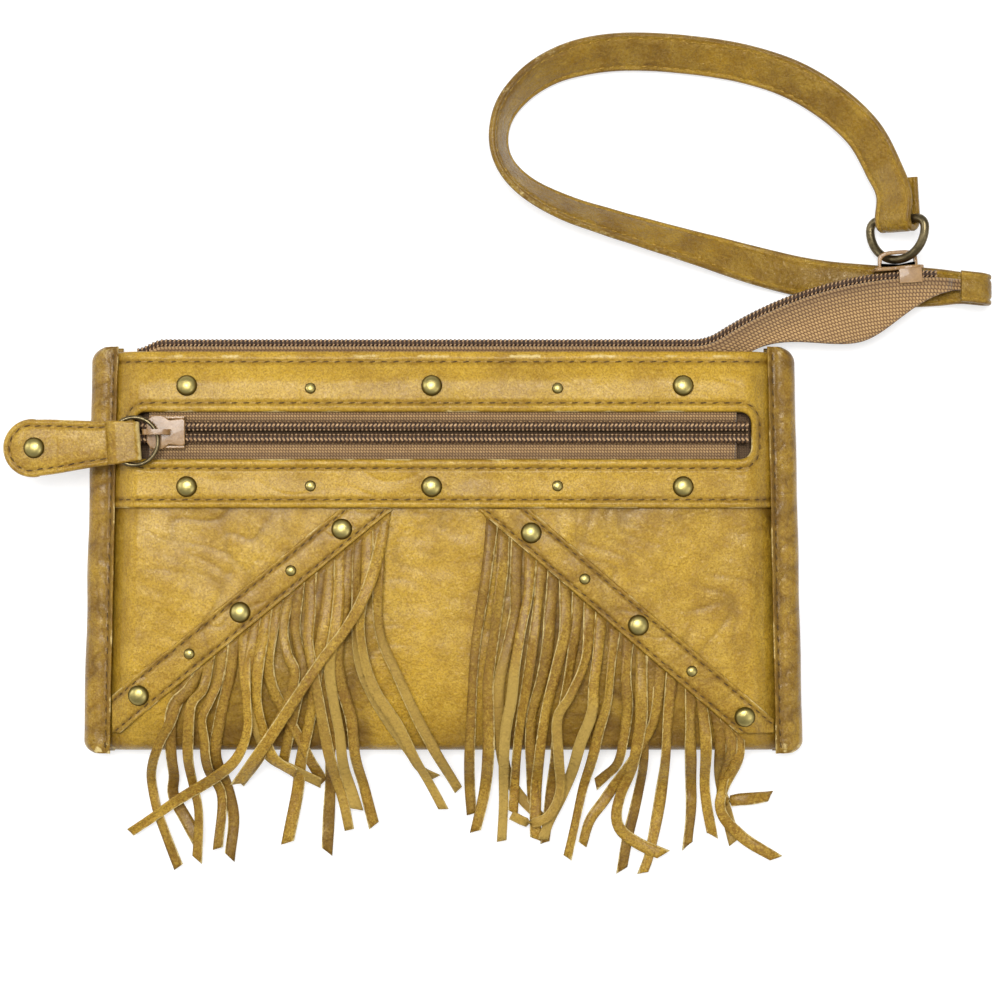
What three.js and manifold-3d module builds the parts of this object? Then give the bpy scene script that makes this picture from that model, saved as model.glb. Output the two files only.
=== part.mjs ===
// Fringed zip pouch with a wrist strap, lying on its back.
// Millimetres. +X runs along the pouch, +Y towards its top zip, +Z out of its front.
// The origin is the middle of the back, on the surface that the pouch rests on.
import * as THREE from 'three';
import { mergeVertices } from 'three/addons/utils/BufferGeometryUtils.js';
import Module from 'manifold-3d';

const wasm = await Module();
wasm.setup();

// Driving dimensions

const clearance = 0.3;

const bodyTopWidth = 186;
const bodyBottomWidth = 190.6;
const bodyTop = 51.7;
const bodyBottom = -53.5;
const leatherThickness = 1.2;
const liningThickness = 0.4;
const frontHeight = 12.8;
const topEdgeHeight = 10.4;
const sideHeight = 6;
const foldHeight = 8;
const shoulderWidth = 11;
const topSlopeLength = 11;
const bottomSlopeLength = 30;
const backLift = 1.3;

const bindingWidth = 7.6;
const bindingThickness = 1;
const bindingRound = 3;

const frameBottom = 10.6;
const frameLap = 8.4;
const windowLeft = -80.6;
const windowRight = 80.8;
const windowBottom = 23.4;
const windowTop = 35.7;
const pocketZipMiddle = 30.4;

const tapeThickness = 0.6;
const pocketTapeWidth = 10.6;
const chainGap = 1.2;
const coilWidth = 2.7;
const coilHeight = 1.4;
const coilRidge = 0.35;
const coilPitch = 2.8;

const trimWidth = 9;
const trimThickness = 0.9;
const largeStudRadius = 2.75;
const largeStudHeight = 1.7;
const smallStudRadius = 1.45;
const smallStudHeight = 0.9;

const strandWidth = 3.1;
const strandThickness = 0.8;
const fringeHeader = 5;

const mainZipHeight = 7.2;
const mainCoilWidth = 2;
const mainCoilDepth = 2;
const mainZipLeft = -80.5;
const mainTapeFoot = 46;
const mainZipLine = 54.05;
const tailArcRadius = 100.6;
const tailArcX = 127.6;
const tailArcY = -28.4;
const tailBendRadius = 14;
const tailCoilEnd = 130.5;
const tailEnd = 141;

const strapWidth = 10.6;
const strapThickness = 1.9;
const ringWireRadius = 1.15;
const ringHalfWidth = 8.3;
const ringDepth = 10.6;
const ringTilt = THREE.MathUtils.degToRad(40);

const pullRingRadius = 6.2;
const pullRingWire = 0.55;
const tabThickness = 3.2;
const tabEndRadius = 7.6;
const tabLength = 35.6;
const tabFoldHalfWidth = 5;
const tabNeckHalfWidth = 5.8;

// Materials

function finish(color, roughness, metalness = 0) {
  return new THREE.MeshStandardMaterial({ color, roughness, metalness });
}

const tanLeather = finish(0xb8934a, 0.42);
const trimLeather = finish(0xb08a42, 0.42);
const fringeLeather = finish(0xb99a56, 0.6);
const strapLeather = finish(0xa8822f, 0.4);
const liningCloth = finish(0x6b5138, 0.9);
const zipTape = finish(0x9a7650, 0.85);
const zipCoil = finish(0x7a5c40, 0.55);
const sliderEnamel = finish(0xb98f63, 0.45, 0.3);
const brass = finish(0xa89048, 0.35, 0.9);
const darkBrass = finish(0x3f3626, 0.35, 0.9);

// Solids

const part = new THREE.Group();

function flipIfInsideOut(positions, index) {
  const a = new THREE.Vector3();
  const b = new THREE.Vector3();
  const c = new THREE.Vector3();
  let volume = 0;
  for (let i = 0; i < index.length; i += 3) {
    a.fromArray(positions, index[i] * 3);
    b.fromArray(positions, index[i + 1] * 3);
    c.fromArray(positions, index[i + 2] * 3);
    volume += a.dot(b.cross(c));
  }
  if (volume < 0) {
    for (let i = 0; i < index.length; i += 3) {
      [index[i + 1], index[i + 2]] = [index[i + 2], index[i + 1]];
    }
  }
}

function geometryFrom(positions, index) {
  flipIfInsideOut(positions, index);
  const geometry = new THREE.BufferGeometry();
  geometry.setAttribute('position', new THREE.Float32BufferAttribute(positions, 3));
  geometry.setIndex(index);
  return geometry;
}

// A closed sheet: two faces over one grid, and walls round their four edges.
function sheet(rows, columns, upper, lower) {
  const positions = [];
  const index = [];
  const stride = columns + 1;
  const below = (rows + 1) * stride;
  for (const face of [upper, lower]) {
    for (let r = 0; r <= rows; r += 1) {
      for (let c = 0; c <= columns; c += 1) positions.push(...face(r / rows, c / columns));
    }
  }
  const wall = (a, b) => index.push(b, a, below + a, b, below + a, below + b);
  for (let r = 0; r < rows; r += 1) {
    for (let c = 0; c < columns; c += 1) {
      const a = r * stride + c;
      const b = a + 1;
      const d = a + stride;
      const e = d + 1;
      index.push(a, b, e, a, e, d);
      index.push(below + a, below + e, below + b, below + a, below + d, below + e);
    }
  }
  for (let c = 0; c < columns; c += 1) {
    wall(c, c + 1);
    wall(rows * stride + c + 1, rows * stride + c);
  }
  for (let r = 0; r < rows; r += 1) {
    wall((r + 1) * stride, r * stride);
    wall(r * stride + columns, (r + 1) * stride + columns);
  }
  return geometryFrom(positions, index);
}

function solidOf(geometry) {
  const bare = geometry.clone();
  bare.deleteAttribute('normal');
  bare.deleteAttribute('uv');
  const merged = mergeVertices(bare, 1e-4);
  const vertProperties = new Float32Array(merged.attributes.position.array);
  const triVerts = new Uint32Array(merged.index.array);
  return new wasm.Manifold(new wasm.Mesh({ numProp: 3, vertProperties, triVerts }));
}

function geometryOf(solid) {
  const mesh = solid.getMesh();
  const geometry = new THREE.BufferGeometry();
  const positions = Array.from(mesh.vertProperties);
  geometry.setAttribute('position', new THREE.Float32BufferAttribute(positions, 3));
  geometry.setIndex(Array.from(mesh.triVerts));
  return geometry;
}

function joined(geometries) {
  return geometryOf(geometries.map(solidOf).reduce((whole, piece) => whole.add(piece)));
}

function cut(geometry, cutters) {
  return geometryOf(cutters.map(solidOf).reduce((whole, cutter) => whole.subtract(cutter), solidOf(geometry)));
}

function add(name, geometry, material) {
  const mesh = new THREE.Mesh(geometry, material);
  mesh.name = name;
  part.add(mesh);
  return mesh;
}

function extruded(shape, depth, curveSegments = 6) {
  return new THREE.ExtrudeGeometry(shape, { depth, bevelEnabled: false, curveSegments });
}

function box(low, high) {
  const size = high.map((value, axis) => value - low[axis]);
  const geometry = new THREE.BoxGeometry(...size);
  geometry.translate(...low.map((value, axis) => value + size[axis] / 2));
  return geometry;
}

// Shape of the filled pouch

function smooth(value) {
  const t = Math.min(Math.max(value, 0), 1);
  return t * t * (3 - 2 * t);
}

function mix(a, b, t) {
  return a + (b - a) * t;
}

function halfWidth(y) {
  return mix(bodyBottomWidth, bodyTopWidth, (y - bodyBottom) / (bodyTop - bodyBottom)) / 2;
}

function panelHalfWidth(y) {
  return halfWidth(y) - bindingRound;
}

// Height of the front leather's outer face.
function front(x, y) {
  const topDrop = smooth((y - bodyTop + topSlopeLength) / topSlopeLength) ** 1.5;
  const bottomDrop = Math.max(0, (bodyBottom + bottomSlopeLength - y) / bottomSlopeLength) ** 2.4;
  const middle = frontHeight - (frontHeight - topEdgeHeight) * topDrop - (frontHeight - foldHeight) * bottomDrop;
  const shoulder = 1 - smooth((Math.abs(x) - (panelHalfWidth(y) - shoulderWidth)) / (shoulderWidth - 1.5));
  return sideHeight + (middle - sideHeight) * shoulder;
}

// Height of the back leather's outer face, lifted at the sides by the binding's back leg.
function back(x, y) {
  const inner = halfWidth(y) - bindingWidth;
  return backLift * smooth((Math.abs(x) - (inner - 5)) / 4.5);
}

// Section of a sheet that runs down the back, round a bottom fold and up the front.
// The depths say how far inside the leather's outer faces the point lies.
function foldedPoint(x, share, fold, below) {
  const backEnd = 0.2;
  const frontStart = 0.45;
  const low = (y) => back(x, y) + fold.backDepth + below;
  const high = (y) => front(x, y) - fold.frontDepth - below;
  if (share <= backEnd) {
    const y = mix(fold.backTop, fold.foldY, share / backEnd);
    return [x, y, low(y)];
  }
  if (share < frontStart) {
    const angle = Math.PI * (share - backEnd) / (frontStart - backEnd);
    const middle = (low(fold.foldY) + high(fold.foldY)) / 2;
    const rise = (high(fold.foldY) - low(fold.foldY)) / 2;
    return [x, fold.foldY - (fold.reach - below) * Math.sin(angle), middle - Math.cos(angle) * rise];
  }
  const y = mix(fold.foldY, fold.frontTop, (share - frontStart) / (1 - frontStart));
  return [x, y, high(y)];
}

// Columns that lie closer together on the rounded shoulders at the two sides.
function acrossBody(share, reach) {
  const flat = reach - shoulderWidth - 1;
  const shoulder = 0.42;
  if (share < shoulder) return mix(-reach, -flat, share / shoulder);
  if (share > 1 - shoulder) return mix(flat, reach, (share - 1 + shoulder) / shoulder);
  return mix(-flat, flat, (share - shoulder) / (1 - 2 * shoulder));
}

function foldedSheet(rows, columns, fold, thickness) {
  const point = (r, c, below) => {
    const level = foldedPoint(0, r, fold, 0)[1];
    return foldedPoint(acrossBody(c, panelHalfWidth(level) - fold.inset), r, fold, below);
  };
  return sheet(rows, columns, (r, c) => point(r, c, 0), (r, c) => point(r, c, thickness));
}

const bodyFrontTop = frameBottom + frameLap;
const foldReach = 3.8;

function bodyPanel() {
  const fold = {
    backTop: bodyTop - 1,
    frontTop: bodyFrontTop,
    foldY: bodyBottom + foldReach,
    reach: foldReach,
    backDepth: 0,
    frontDepth: 0,
    inset: 0,
  };
  add('body_panel', foldedSheet(18, 16, fold, leatherThickness), tanLeather);
}

// The lining of the main space lies inside the leather, and behind the front pocket.
const liningDepth = leatherThickness + clearance;
const liningFrontDepth = leatherThickness + 3 * clearance + 2 * liningThickness;

function mainLining() {
  const fold = {
    backTop: mainTapeFoot - 2 * clearance,
    frontTop: mainTapeFoot - 2 * clearance,
    foldY: bodyBottom + leatherThickness + 7,
    reach: 2.4,
    backDepth: liningDepth,
    frontDepth: liningFrontDepth,
    inset: 7,
  };
  add('main_lining', foldedSheet(14, 10, fold, liningThickness), liningCloth);
}

function pocketLining() {
  const depth = leatherThickness + clearance;
  const reach = 76;
  const bottom = -40;
  const across = (share) => mix(-reach, reach, share);
  const slack = 0.7;
  const face = (x, y) => front(x, y) - depth - slack * smooth((y - 12) / 6);
  const geometry = sheet(
    8,
    10,
    (r, c) => [across(c), mix(bottom, pocketZipMiddle + 7, r), face(across(c), mix(bottom, 30, r))],
    (r, c) => [across(c), mix(bottom, pocketZipMiddle + 7, r), face(across(c), mix(bottom, 30, r)) - liningThickness],
  );
  add('pocket_lining', geometry, liningCloth);
}

// Pieces on the front

function frontPoint(x, y, lift) {
  return [x, y, front(x, y) + lift];
}

// Leather panel with the pocket's window, over the top of the pouch's front.
function zipFramePanel() {
  const top = bodyTop;
  const rows = 10;
  const levels = (share) => mix(frameBottom, top, share);
  const at = (r, c, lift) => {
    const y = levels(r);
    return frontPoint(acrossBody(c, panelHalfWidth(y)), y, lift);
  };
  const panel = sheet(
    rows,
    16,
    (r, c) => at(r, c, clearance + leatherThickness),
    (r, c) => at(r, c, clearance),
  );
  const radius = 3;
  const window = new THREE.Shape();
  window.moveTo(windowLeft + radius, windowBottom);
  window.lineTo(windowRight - radius, windowBottom);
  window.absarc(windowRight - radius, windowBottom + radius, radius, -Math.PI / 2, 0, false);
  window.lineTo(windowRight, windowTop - radius);
  window.absarc(windowRight - radius, windowTop - radius, radius, 0, Math.PI / 2, false);
  window.lineTo(windowLeft + radius, windowTop);
  window.absarc(windowLeft + radius, windowTop - radius, radius, Math.PI / 2, Math.PI, false);
  window.lineTo(windowLeft, windowBottom + radius);
  window.absarc(windowLeft + radius, windowBottom + radius, radius, Math.PI, Math.PI * 1.5, false);
  const cutter = extruded(window, 30, 3);
  add('zip_frame_panel', cut(panel, [cutter]), tanLeather);
}

// Leather strip folded over a side edge, from the back leg round to the front leg.
function edgeBinding(name, side) {
  const bottomCorner = 4;
  const section = (y, share, below) => {
    const outer = halfWidth(y);
    const round = outer - bindingRound;
    if (share < 0.3) return [mix(outer - bindingWidth, round, share / 0.3), below];
    const layer = y > frameBottom - 3 ? leatherThickness : trimThickness;
    const high = (x) => front(x, y) + layer + 2 * clearance + bindingThickness - below;
    if (share > 0.7) {
      const x = mix(round, outer - bindingWidth, (share - 0.7) / 0.3);
      return [x, high(x)];
    }
    const angle = Math.PI * (share - 0.3) / 0.4;
    const reach = bindingRound - below;
    return [round + reach * Math.sin(angle), mix(below, high(round), (1 - Math.cos(angle)) / 2)];
  };
  const low = bodyBottom - 0.6;
  const point = (r, c, below) => {
    const y = mix(low, bodyTop + 0.6, r);
    const place = section(Math.max(y, bodyBottom + bottomCorner), c, below);
    return [side * place[0], y, place[1]];
  };
  add(name, sheet(9, 12, (r, c) => point(r, c, 0), (r, c) => point(r, c, bindingThickness)), trimLeather);
}

// The bands bridge the tight curve at the pouch's shoulders a little.
function overShoulder(x) {
  const start = panelHalfWidth(bodyBottom) - shoulderWidth - 4;
  return 2 * clearance * smooth((Math.abs(x) - start) / 5);
}

// A flat strip laid on the front between two points, which stops at the frame and at the binding.
function trimBand(name, high, low) {
  const along = new THREE.Vector2(low[0] - high[0], low[1] - high[1]).normalize();
  const across = new THREE.Vector2(-along.y, along.x);
  const edge = (offset, level) => {
    const x = high[0] + across.x * offset;
    const y = high[1] + across.y * offset;
    const step = (level - y) / along.y;
    return [x + along.x * step, level];
  };
  const foot = (offset) => {
    const side = Math.sign(low[0]);
    const x = high[0] + across.x * offset;
    const y = high[1] + across.y * offset;
    const reach = halfWidth(low[1]) - bindingWidth - clearance;
    const step = Math.min((side * reach - x) / along.x, (bodyBottom + 5 - y) / along.y);
    return [x + along.x * step, y + along.y * step];
  };
  const at = (r, c, lift) => {
    const offset = (c - 0.5) * trimWidth;
    const start = edge(offset, frameBottom - clearance);
    const end = foot(offset);
    const x = mix(start[0], end[0], r);
    return frontPoint(x, mix(start[1], end[1], r), lift + overShoulder(x));
  };
  const geometry = sheet(
    24,
    2,
    (r, c) => at(r, c, clearance + trimThickness),
    (r, c) => at(r, c, clearance),
  );
  add(name, geometry, trimLeather);
}

const leftTrim = { high: [-26.3, 5.1], low: [-79.5, -38.4] };
const rightTrim = { high: [23.2, 4.1], low: [79.2, -44.1] };

// Domed rivets

function dome(radius, height, segments) {
  const profile = [
    new THREE.Vector2(0, 0),
    new THREE.Vector2(radius, 0),
    new THREE.Vector2(radius, height * 0.25),
    new THREE.Vector2(radius * 0.72, height * 0.8),
    new THREE.Vector2(0, height),
  ];
  return new THREE.LatheGeometry(profile, segments).rotateX(Math.PI / 2);
}

function stud(name, x, y, lift, large) {
  const radius = large ? largeStudRadius : smallStudRadius;
  const geometry = large
    ? dome(radius, largeStudHeight, 12)
    : dome(radius, smallStudHeight, 9);
  const slopeX = (front(x + radius, y) - front(x - radius, y)) / (2 * radius);
  const slopeY = (front(x, y + radius) - front(x, y - radius)) / (2 * radius);
  const normal = new THREE.Vector3(-slopeX, -slopeY, 1).normalize();
  const turn = new THREE.Quaternion().setFromUnitVectors(new THREE.Vector3(0, 0, 1), normal);
  const mesh = add(name, geometry, brass);
  mesh.quaternion.copy(turn);
  mesh.position.set(x, y, front(x, y) + lift);
}

function studs() {
  const onFrame = 2 * clearance + leatherThickness;
  const onTrim = 2 * clearance + trimThickness;
  const upperRow = 42.6;
  const lowerRow = 16.2;
  const large = [-66.8, -2.8, 62.9];
  const small = [-34.5, 30.1];
  large.forEach((x, i) => stud(`stud_upper_${i + 1}`, x, upperRow, onFrame, true));
  large.forEach((x, i) => stud(`stud_lower_${i + 1}`, x, lowerRow, onFrame, true));
  small.forEach((x, i) => stud(`small_stud_upper_${i + 1}`, x, upperRow - 0.7, onFrame, false));
  small.forEach((x, i) => stud(`small_stud_lower_${i + 1}`, x, lowerRow + 0.2, onFrame, false));
  const bands = { left: leftTrim, right: rightTrim };
  for (const [side, band] of Object.entries(bands)) {
    for (let i = 0; i < 5; i += 1) {
      const x = mix(band.high[0], band.low[0], i / 4);
      const y = mix(band.high[1], band.low[1], i / 4);
      const isLarge = i % 2 === 0;
      stud(`${isLarge ? '' : 'small_'}stud_${side}_trim_${i + 1}`, x, y, onTrim + 1.4 * overShoulder(x), isLarge);
    }
  }
}

// Front pocket's zip

// One half of a closed coil: a bar whose outer side and top are ridged by the turns.
function ridgedBar(length, toPoint, width, height, pitch = coilPitch) {
  const turns = Math.round(length / pitch);
  const corners = (ridge) => [
    [0, 0],
    [width - ridge, 0],
    [width - ridge, height - ridge],
    [0, height - ridge],
  ];
  const positions = [];
  const index = [];
  const stations = turns * 2 + 1;
  for (let i = 0; i < stations; i += 1) {
    const ridge = i % 2 === 0 ? coilRidge : 0;
    for (const [across, up] of corners(ridge)) positions.push(...toPoint(i / (stations - 1), across, up));
  }
  for (let i = 0; i < stations - 1; i += 1) {
    for (let k = 0; k < 4; k += 1) {
      const a = i * 4 + k;
      const b = i * 4 + (k + 1) % 4;
      index.push(a, b, b + 4, a, b + 4, a + 4);
    }
  }
  const last = (stations - 1) * 4;
  index.push(0, 2, 1, 0, 3, 2, last, last + 1, last + 2, last, last + 2, last + 3);
  return geometryFrom(positions, index);
}

const pocketTapeTop = front(0, pocketZipMiddle);
const pocketChainBase = pocketTapeTop + clearance;
const pocketChainTop = pocketChainBase + coilHeight;
const pocketZipLeft = windowLeft + 0.8;
const pocketZipRight = windowRight - 0.8;

function pocketZipHalf(name, side) {
  const inner = pocketZipMiddle + side * chainGap / 2;
  const outer = pocketZipMiddle + side * pocketTapeWidth;
  const tape = box(
    [pocketZipLeft + 3, Math.min(inner, outer), pocketTapeTop - tapeThickness],
    [pocketZipRight - 3, Math.max(inner, outer), pocketTapeTop],
  );
  add(`pocket_zip_${name}_tape`, tape, zipTape);
  const length = pocketZipRight - pocketZipLeft;
  const coil = ridgedBar(
    length,
    (share, across, up) => [pocketZipLeft + share * length, inner + side * across, pocketChainBase + up],
    coilWidth,
    coilHeight,
  );
  add(`pocket_zip_${name}_coil`, coil, zipCoil);
}

// Slider seen from above: broad shoulders at its leading end, which narrow to the other.
function sliderOutline(length, broad, narrow) {
  const shape = new THREE.Shape();
  const half = length / 2;
  shape.moveTo(-half, -broad * 0.28);
  shape.lineTo(-half + length * 0.13, -broad / 2);
  shape.lineTo(-half + length * 0.45, -broad / 2);
  shape.lineTo(half, -narrow / 2);
  shape.lineTo(half, narrow / 2);
  shape.lineTo(-half + length * 0.45, broad / 2);
  shape.lineTo(-half + length * 0.13, broad / 2);
  shape.lineTo(-half, broad * 0.28);
  return shape;
}

// Arched bail of a slider, drawn along the slider and upwards.
function bailOutline(length, height, bar, holeHeight, holeLength) {
  const shape = new THREE.Shape();
  const half = length / 2;
  const hole = holeLength / 2;
  shape.moveTo(-half, 0);
  shape.lineTo(half, 0);
  shape.lineTo(half - bar * 0.6, height - bar);
  shape.lineTo(half - bar * 1.5, height);
  shape.lineTo(-half + bar * 1.5, height);
  shape.lineTo(-half + bar * 0.6, height - bar);
  const gap = new THREE.Path();
  gap.moveTo(-hole, 0.4);
  gap.lineTo(-hole, holeHeight - 0.5);
  gap.lineTo(-hole + 0.5, holeHeight);
  gap.lineTo(hole - 0.5, holeHeight);
  gap.lineTo(hole, holeHeight - 0.5);
  gap.lineTo(hole, 0.4);
  shape.holes.push(gap);
  return shape;
}

const pocketSliderLength = 10;
const pocketSliderX = -72.1;
const sliderPlate = 1;
const pocketSliderBase = pocketChainTop + clearance;
const pocketSliderTop = pocketSliderBase + sliderPlate;
const pocketBailLength = 7.2;
const pocketBailX = -74.4;
const pocketBailThickness = 1.4;
const pullPinX = -73.9;
const pullPinZ = pocketSliderTop + 1.4;

function pocketSlider() {
  const plate = extruded(sliderOutline(pocketSliderLength, 8.8, 7.2), sliderPlate);
  plate.translate(pocketSliderX, pocketZipMiddle, pocketSliderBase);
  const bail = extruded(bailOutline(pocketBailLength, 3.3, 0.8, 2.5, 3.8), pocketBailThickness);
  bail.rotateX(Math.PI / 2);
  bail.translate(pocketBailX, pocketZipMiddle + pocketBailThickness / 2, pocketSliderTop - 0.05);
  const neckHalf = chainGap / 2 - clearance;
  const foot = pocketTapeTop - tapeThickness - clearance;
  const neck = box(
    [pocketSliderX - 4.6, pocketZipMiddle - neckHalf, foot - 0.4],
    [pocketSliderX - 2.4, pocketZipMiddle + neckHalf, pocketSliderBase + 0.3],
  );
  const lowerPlate = extruded(sliderOutline(pocketSliderLength, 7.4, 6), sliderPlate * 0.8);
  lowerPlate.translate(pocketSliderX, pocketZipMiddle, foot - sliderPlate * 0.8);
  const side = (sign) => box(
    [pocketSliderX - 1, pocketZipMiddle + sign * 3.85 - 0.35, pocketChainBase + 0.1],
    [pocketSliderX + pocketSliderLength / 2 - 0.2, pocketZipMiddle + sign * 3.85 + 0.35, pocketSliderBase + 0.3],
  );
  add('pocket_slider', joined([plate, bail, neck, lowerPlate, side(1), side(-1)]), sliderEnamel);
}

// Pull tab of folded leather, which holds the ring in the fold
const tabTurn = Math.atan2(2.0, 29);
const pullRingX = pullPinX - pullRingRadius;
const pullRingY = pocketZipMiddle - 2.4;

function pullRing() {
  const ring = new THREE.TorusGeometry(pullRingRadius, pullRingWire, 6, 28);
  ring.translate(pullRingX, pullRingY, pullPinZ);
  add('pull_ring', ring, darkBrass);
}

function pullTab() {
  const foldX = 1.6;
  const neckX = foldX - 7.5;
  const endX = foldX - tabLength + tabEndRadius;
  const outline = new THREE.Shape();
  outline.moveTo(foldX, -tabFoldHalfWidth);
  outline.lineTo(foldX, tabFoldHalfWidth);
  outline.lineTo(neckX, tabNeckHalfWidth);
  outline.lineTo(endX + 5, tabEndRadius - 0.6);
  outline.absarc(endX, 0, tabEndRadius, Math.PI * 0.42, Math.PI * 1.58, false);
  outline.lineTo(endX + 5, -tabEndRadius + 0.6);
  outline.lineTo(neckX, -tabNeckHalfWidth);
  const tab = extruded(outline, tabThickness, 8);
  tab.translate(0, 0, -tabThickness / 2);
  const room = pullRingWire + clearance;
  const pocket = box([-pullRingRadius - room, -12, -room], [foldX - 1.1, 12, room]);
  const geometry = cut(tab, [pocket]);
  geometry.rotateZ(tabTurn).translate(pullRingX, pullRingY, pullPinZ);
  add('pull_tab', geometry, trimLeather);
  const rivet = dome(largeStudRadius, largeStudHeight, 12);
  const reach = endX + 0.6;
  rivet.translate(
    pullRingX + reach * Math.cos(tabTurn),
    pullRingY + reach * Math.sin(tabTurn),
    pullPinZ + tabThickness / 2 + clearance,
  );
  add('pull_tab_rivet', rivet, brass);
}

// Main zip, whose closed end runs on past the pouch as a folded tail

const bendAngle = Math.acos(
  (mainZipLine + tailBendRadius - tailArcY) / (tailArcRadius + tailBendRadius),
);
const bendX = tailArcX - (tailArcRadius + tailBendRadius) * Math.sin(bendAngle);
const straightLength = bendX - mainZipLeft;
const bendLength = tailBendRadius * bendAngle;

// Point and direction on the zip's line, at a distance from its left end.
function zipLine(distance) {
  if (distance <= straightLength) return { x: mainZipLeft + distance, y: mainZipLine, turn: 0 };
  if (distance <= straightLength + bendLength) {
    const turn = (distance - straightLength) / tailBendRadius;
    return {
      x: bendX + tailBendRadius * Math.sin(turn),
      y: mainZipLine + tailBendRadius * (1 - Math.cos(turn)),
      turn,
    };
  }
  const turn = bendAngle - (distance - straightLength - bendLength) / tailArcRadius;
  return {
    x: tailArcX - tailArcRadius * Math.sin(turn),
    y: tailArcY + tailArcRadius * Math.cos(turn),
    turn,
  };
}

function distanceAtTailX(x) {
  const turn = Math.asin((tailArcX - x) / tailArcRadius);
  return straightLength + bendLength + (bendAngle - turn) * tailArcRadius;
}

// Point beside the zip's line: out from it in the plane of the zip, and up or down from its middle.
function besideZip(distance, out, height) {
  const at = zipLine(distance);
  return [at.x - Math.sin(at.turn) * out, at.y + Math.cos(at.turn) * out, mainZipHeight + height];
}

function mainCoil(name, side) {
  const length = distanceAtTailX(tailCoilEnd);
  const coil = ridgedBar(
    length,
    (share, across, up) => besideZip(
      share * length,
      up - mainCoilDepth / 2,
      side * (chainGap / 2 + across),
    ),
    mainCoilWidth,
    mainCoilDepth,
  );
  add(name, coil, zipCoil);
}

// How far the folded tail's tape reaches in from the zip's line.
function tailTapeWidth(turn) {
  const degrees = THREE.MathUtils.radToDeg(turn);
  const start = THREE.MathUtils.radToDeg(bendAngle);
  const widest = 16;
  if (degrees > 12) return mix(widest, mainZipLine - mainTapeFoot, smooth((degrees - 12) / (start - 15)));
  return mix(widest, 3.6, smooth((12 - degrees) / 18));
}

function mainTape(name, side) {
  const length = distanceAtTailX(tailEnd);
  const tailStart = straightLength + bendLength;
  const top = mainCoilDepth / 2 - 0.4;
  const columns = 4;
  const at = (r, c, face) => {
    const distance = r < 0.12 ? mix(0, straightLength - 6, r / 0.12) : mix(straightLength - 6, length, (r - 0.12) / 0.88);
    const { turn } = zipLine(distance);
    const inTail = smooth((distance - straightLength + 4) / (bendLength + 8));
    const width = distance < tailStart ? mainZipLine - mainTapeFoot : tailTapeWidth(turn);
    const belowCoil = -mainCoilDepth / 2 - clearance;
    const out = c < 0.3 ? mix(top, belowCoil, c / 0.25) : mix(belowCoil, -width, (c - 0.25) / 0.75);
    const place = besideZip(distance, out, 0);
    const beside = mainCoilWidth + chainGap / 2 + 1.3 * clearance + tapeThickness / 2;
    const inPouch = side > 0
      ? front(place[0], Math.min(place[1], bodyTop)) - clearance / 2 - tapeThickness / 2
      : 1.9 + leatherThickness - 1.2;
    const joinPouch = smooth((belowCoil - out) / 2.5);
    const pouchHeight = mix(mainZipHeight + side * beside, inPouch, joinPouch);
    const closeUp = smooth((distance - distanceAtTailX(tailCoilEnd + 2)) / 2.4);
    const folded = mix(mix(beside, 0.8, smooth((belowCoil - out) / 6)), 0.62, closeUp);
    const tailHeight = mainZipHeight + side * folded;
    return [place[0], place[1], mix(pouchHeight, tailHeight, inTail) + face * tapeThickness / 2];
  };
  add(name, sheet(28, columns, (r, c) => at(r, c, 1), (r, c) => at(r, c, -1)), zipTape);
}

// Main slider, which stands on its side with its bail away from the pouch
const mainSliderX = 120.3;
const mainSliderTurn = Math.asin((tailArcX - mainSliderX) / tailArcRadius);
const mainSliderLength = 12.8;
const mainSliderWidth = 8.8;
const mainPlateFoot = mainCoilDepth / 2 + clearance;
const mainPlateTop = mainPlateFoot + sliderPlate;
const mainBailHeight = 4.4;
const mainBailHole = 3.5;
const mainBailFoot = 0.4;
const mainBailThickness = 1.6;

function mainSlider() {
  const outline = sliderOutline(mainSliderLength, mainSliderWidth, 7);
  const plate = extruded(outline, sliderPlate).rotateX(-Math.PI / 2);
  plate.rotateY(Math.PI).translate(0, mainPlateFoot, 0);
  const bail = extruded(bailOutline(10.4, mainBailHeight, 0.95, mainBailHole, 6.6), mainBailThickness);
  bail.translate(0, mainPlateTop - 0.05, -mainBailThickness / 2);
  const neckHalf = chainGap / 2 - clearance;
  const neck = box([2.6, -mainCoilDepth / 2 - 1.2, -neckHalf], [4.6, mainPlateFoot + 0.3, neckHalf]);
  const inner = box([-5.6, -mainCoilDepth / 2 - 1.4, -1.1], [5.6, -mainCoilDepth / 2 - 0.5, 1.1]);
  const side = (sign) => box(
    [0, -2.4, sign * 4.15 - 0.35],
    [mainSliderLength / 2 - 0.9, mainPlateFoot + 0.3, sign * 4.15 + 0.35],
  );
  const geometry = joined([plate, bail, neck, inner, side(1), side(-1)]);
  const mesh = add('main_slider', geometry, sliderEnamel);
  mesh.rotation.z = mainSliderTurn;
  mesh.position.set(...besideZip(distanceAtTailX(mainSliderX), 0, 0));
}

// D-ring through the bail, with its straight bar in the strap's fold

const bailHoleOut = mainPlateTop + (mainBailHole + mainBailFoot) / 2;
const ringFoot = new THREE.Vector3(...besideZip(distanceAtTailX(mainSliderX), bailHoleOut, 0));
const ringAcross = new THREE.Vector3(Math.cos(ringTilt), 0, Math.sin(ringTilt));
const ringUp = new THREE.Vector3(0, 1, 0);
const ringNormal = new THREE.Vector3().crossVectors(ringAcross, ringUp);
const ringBar = ringFoot.clone().addScaledVector(ringUp, ringDepth);

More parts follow.
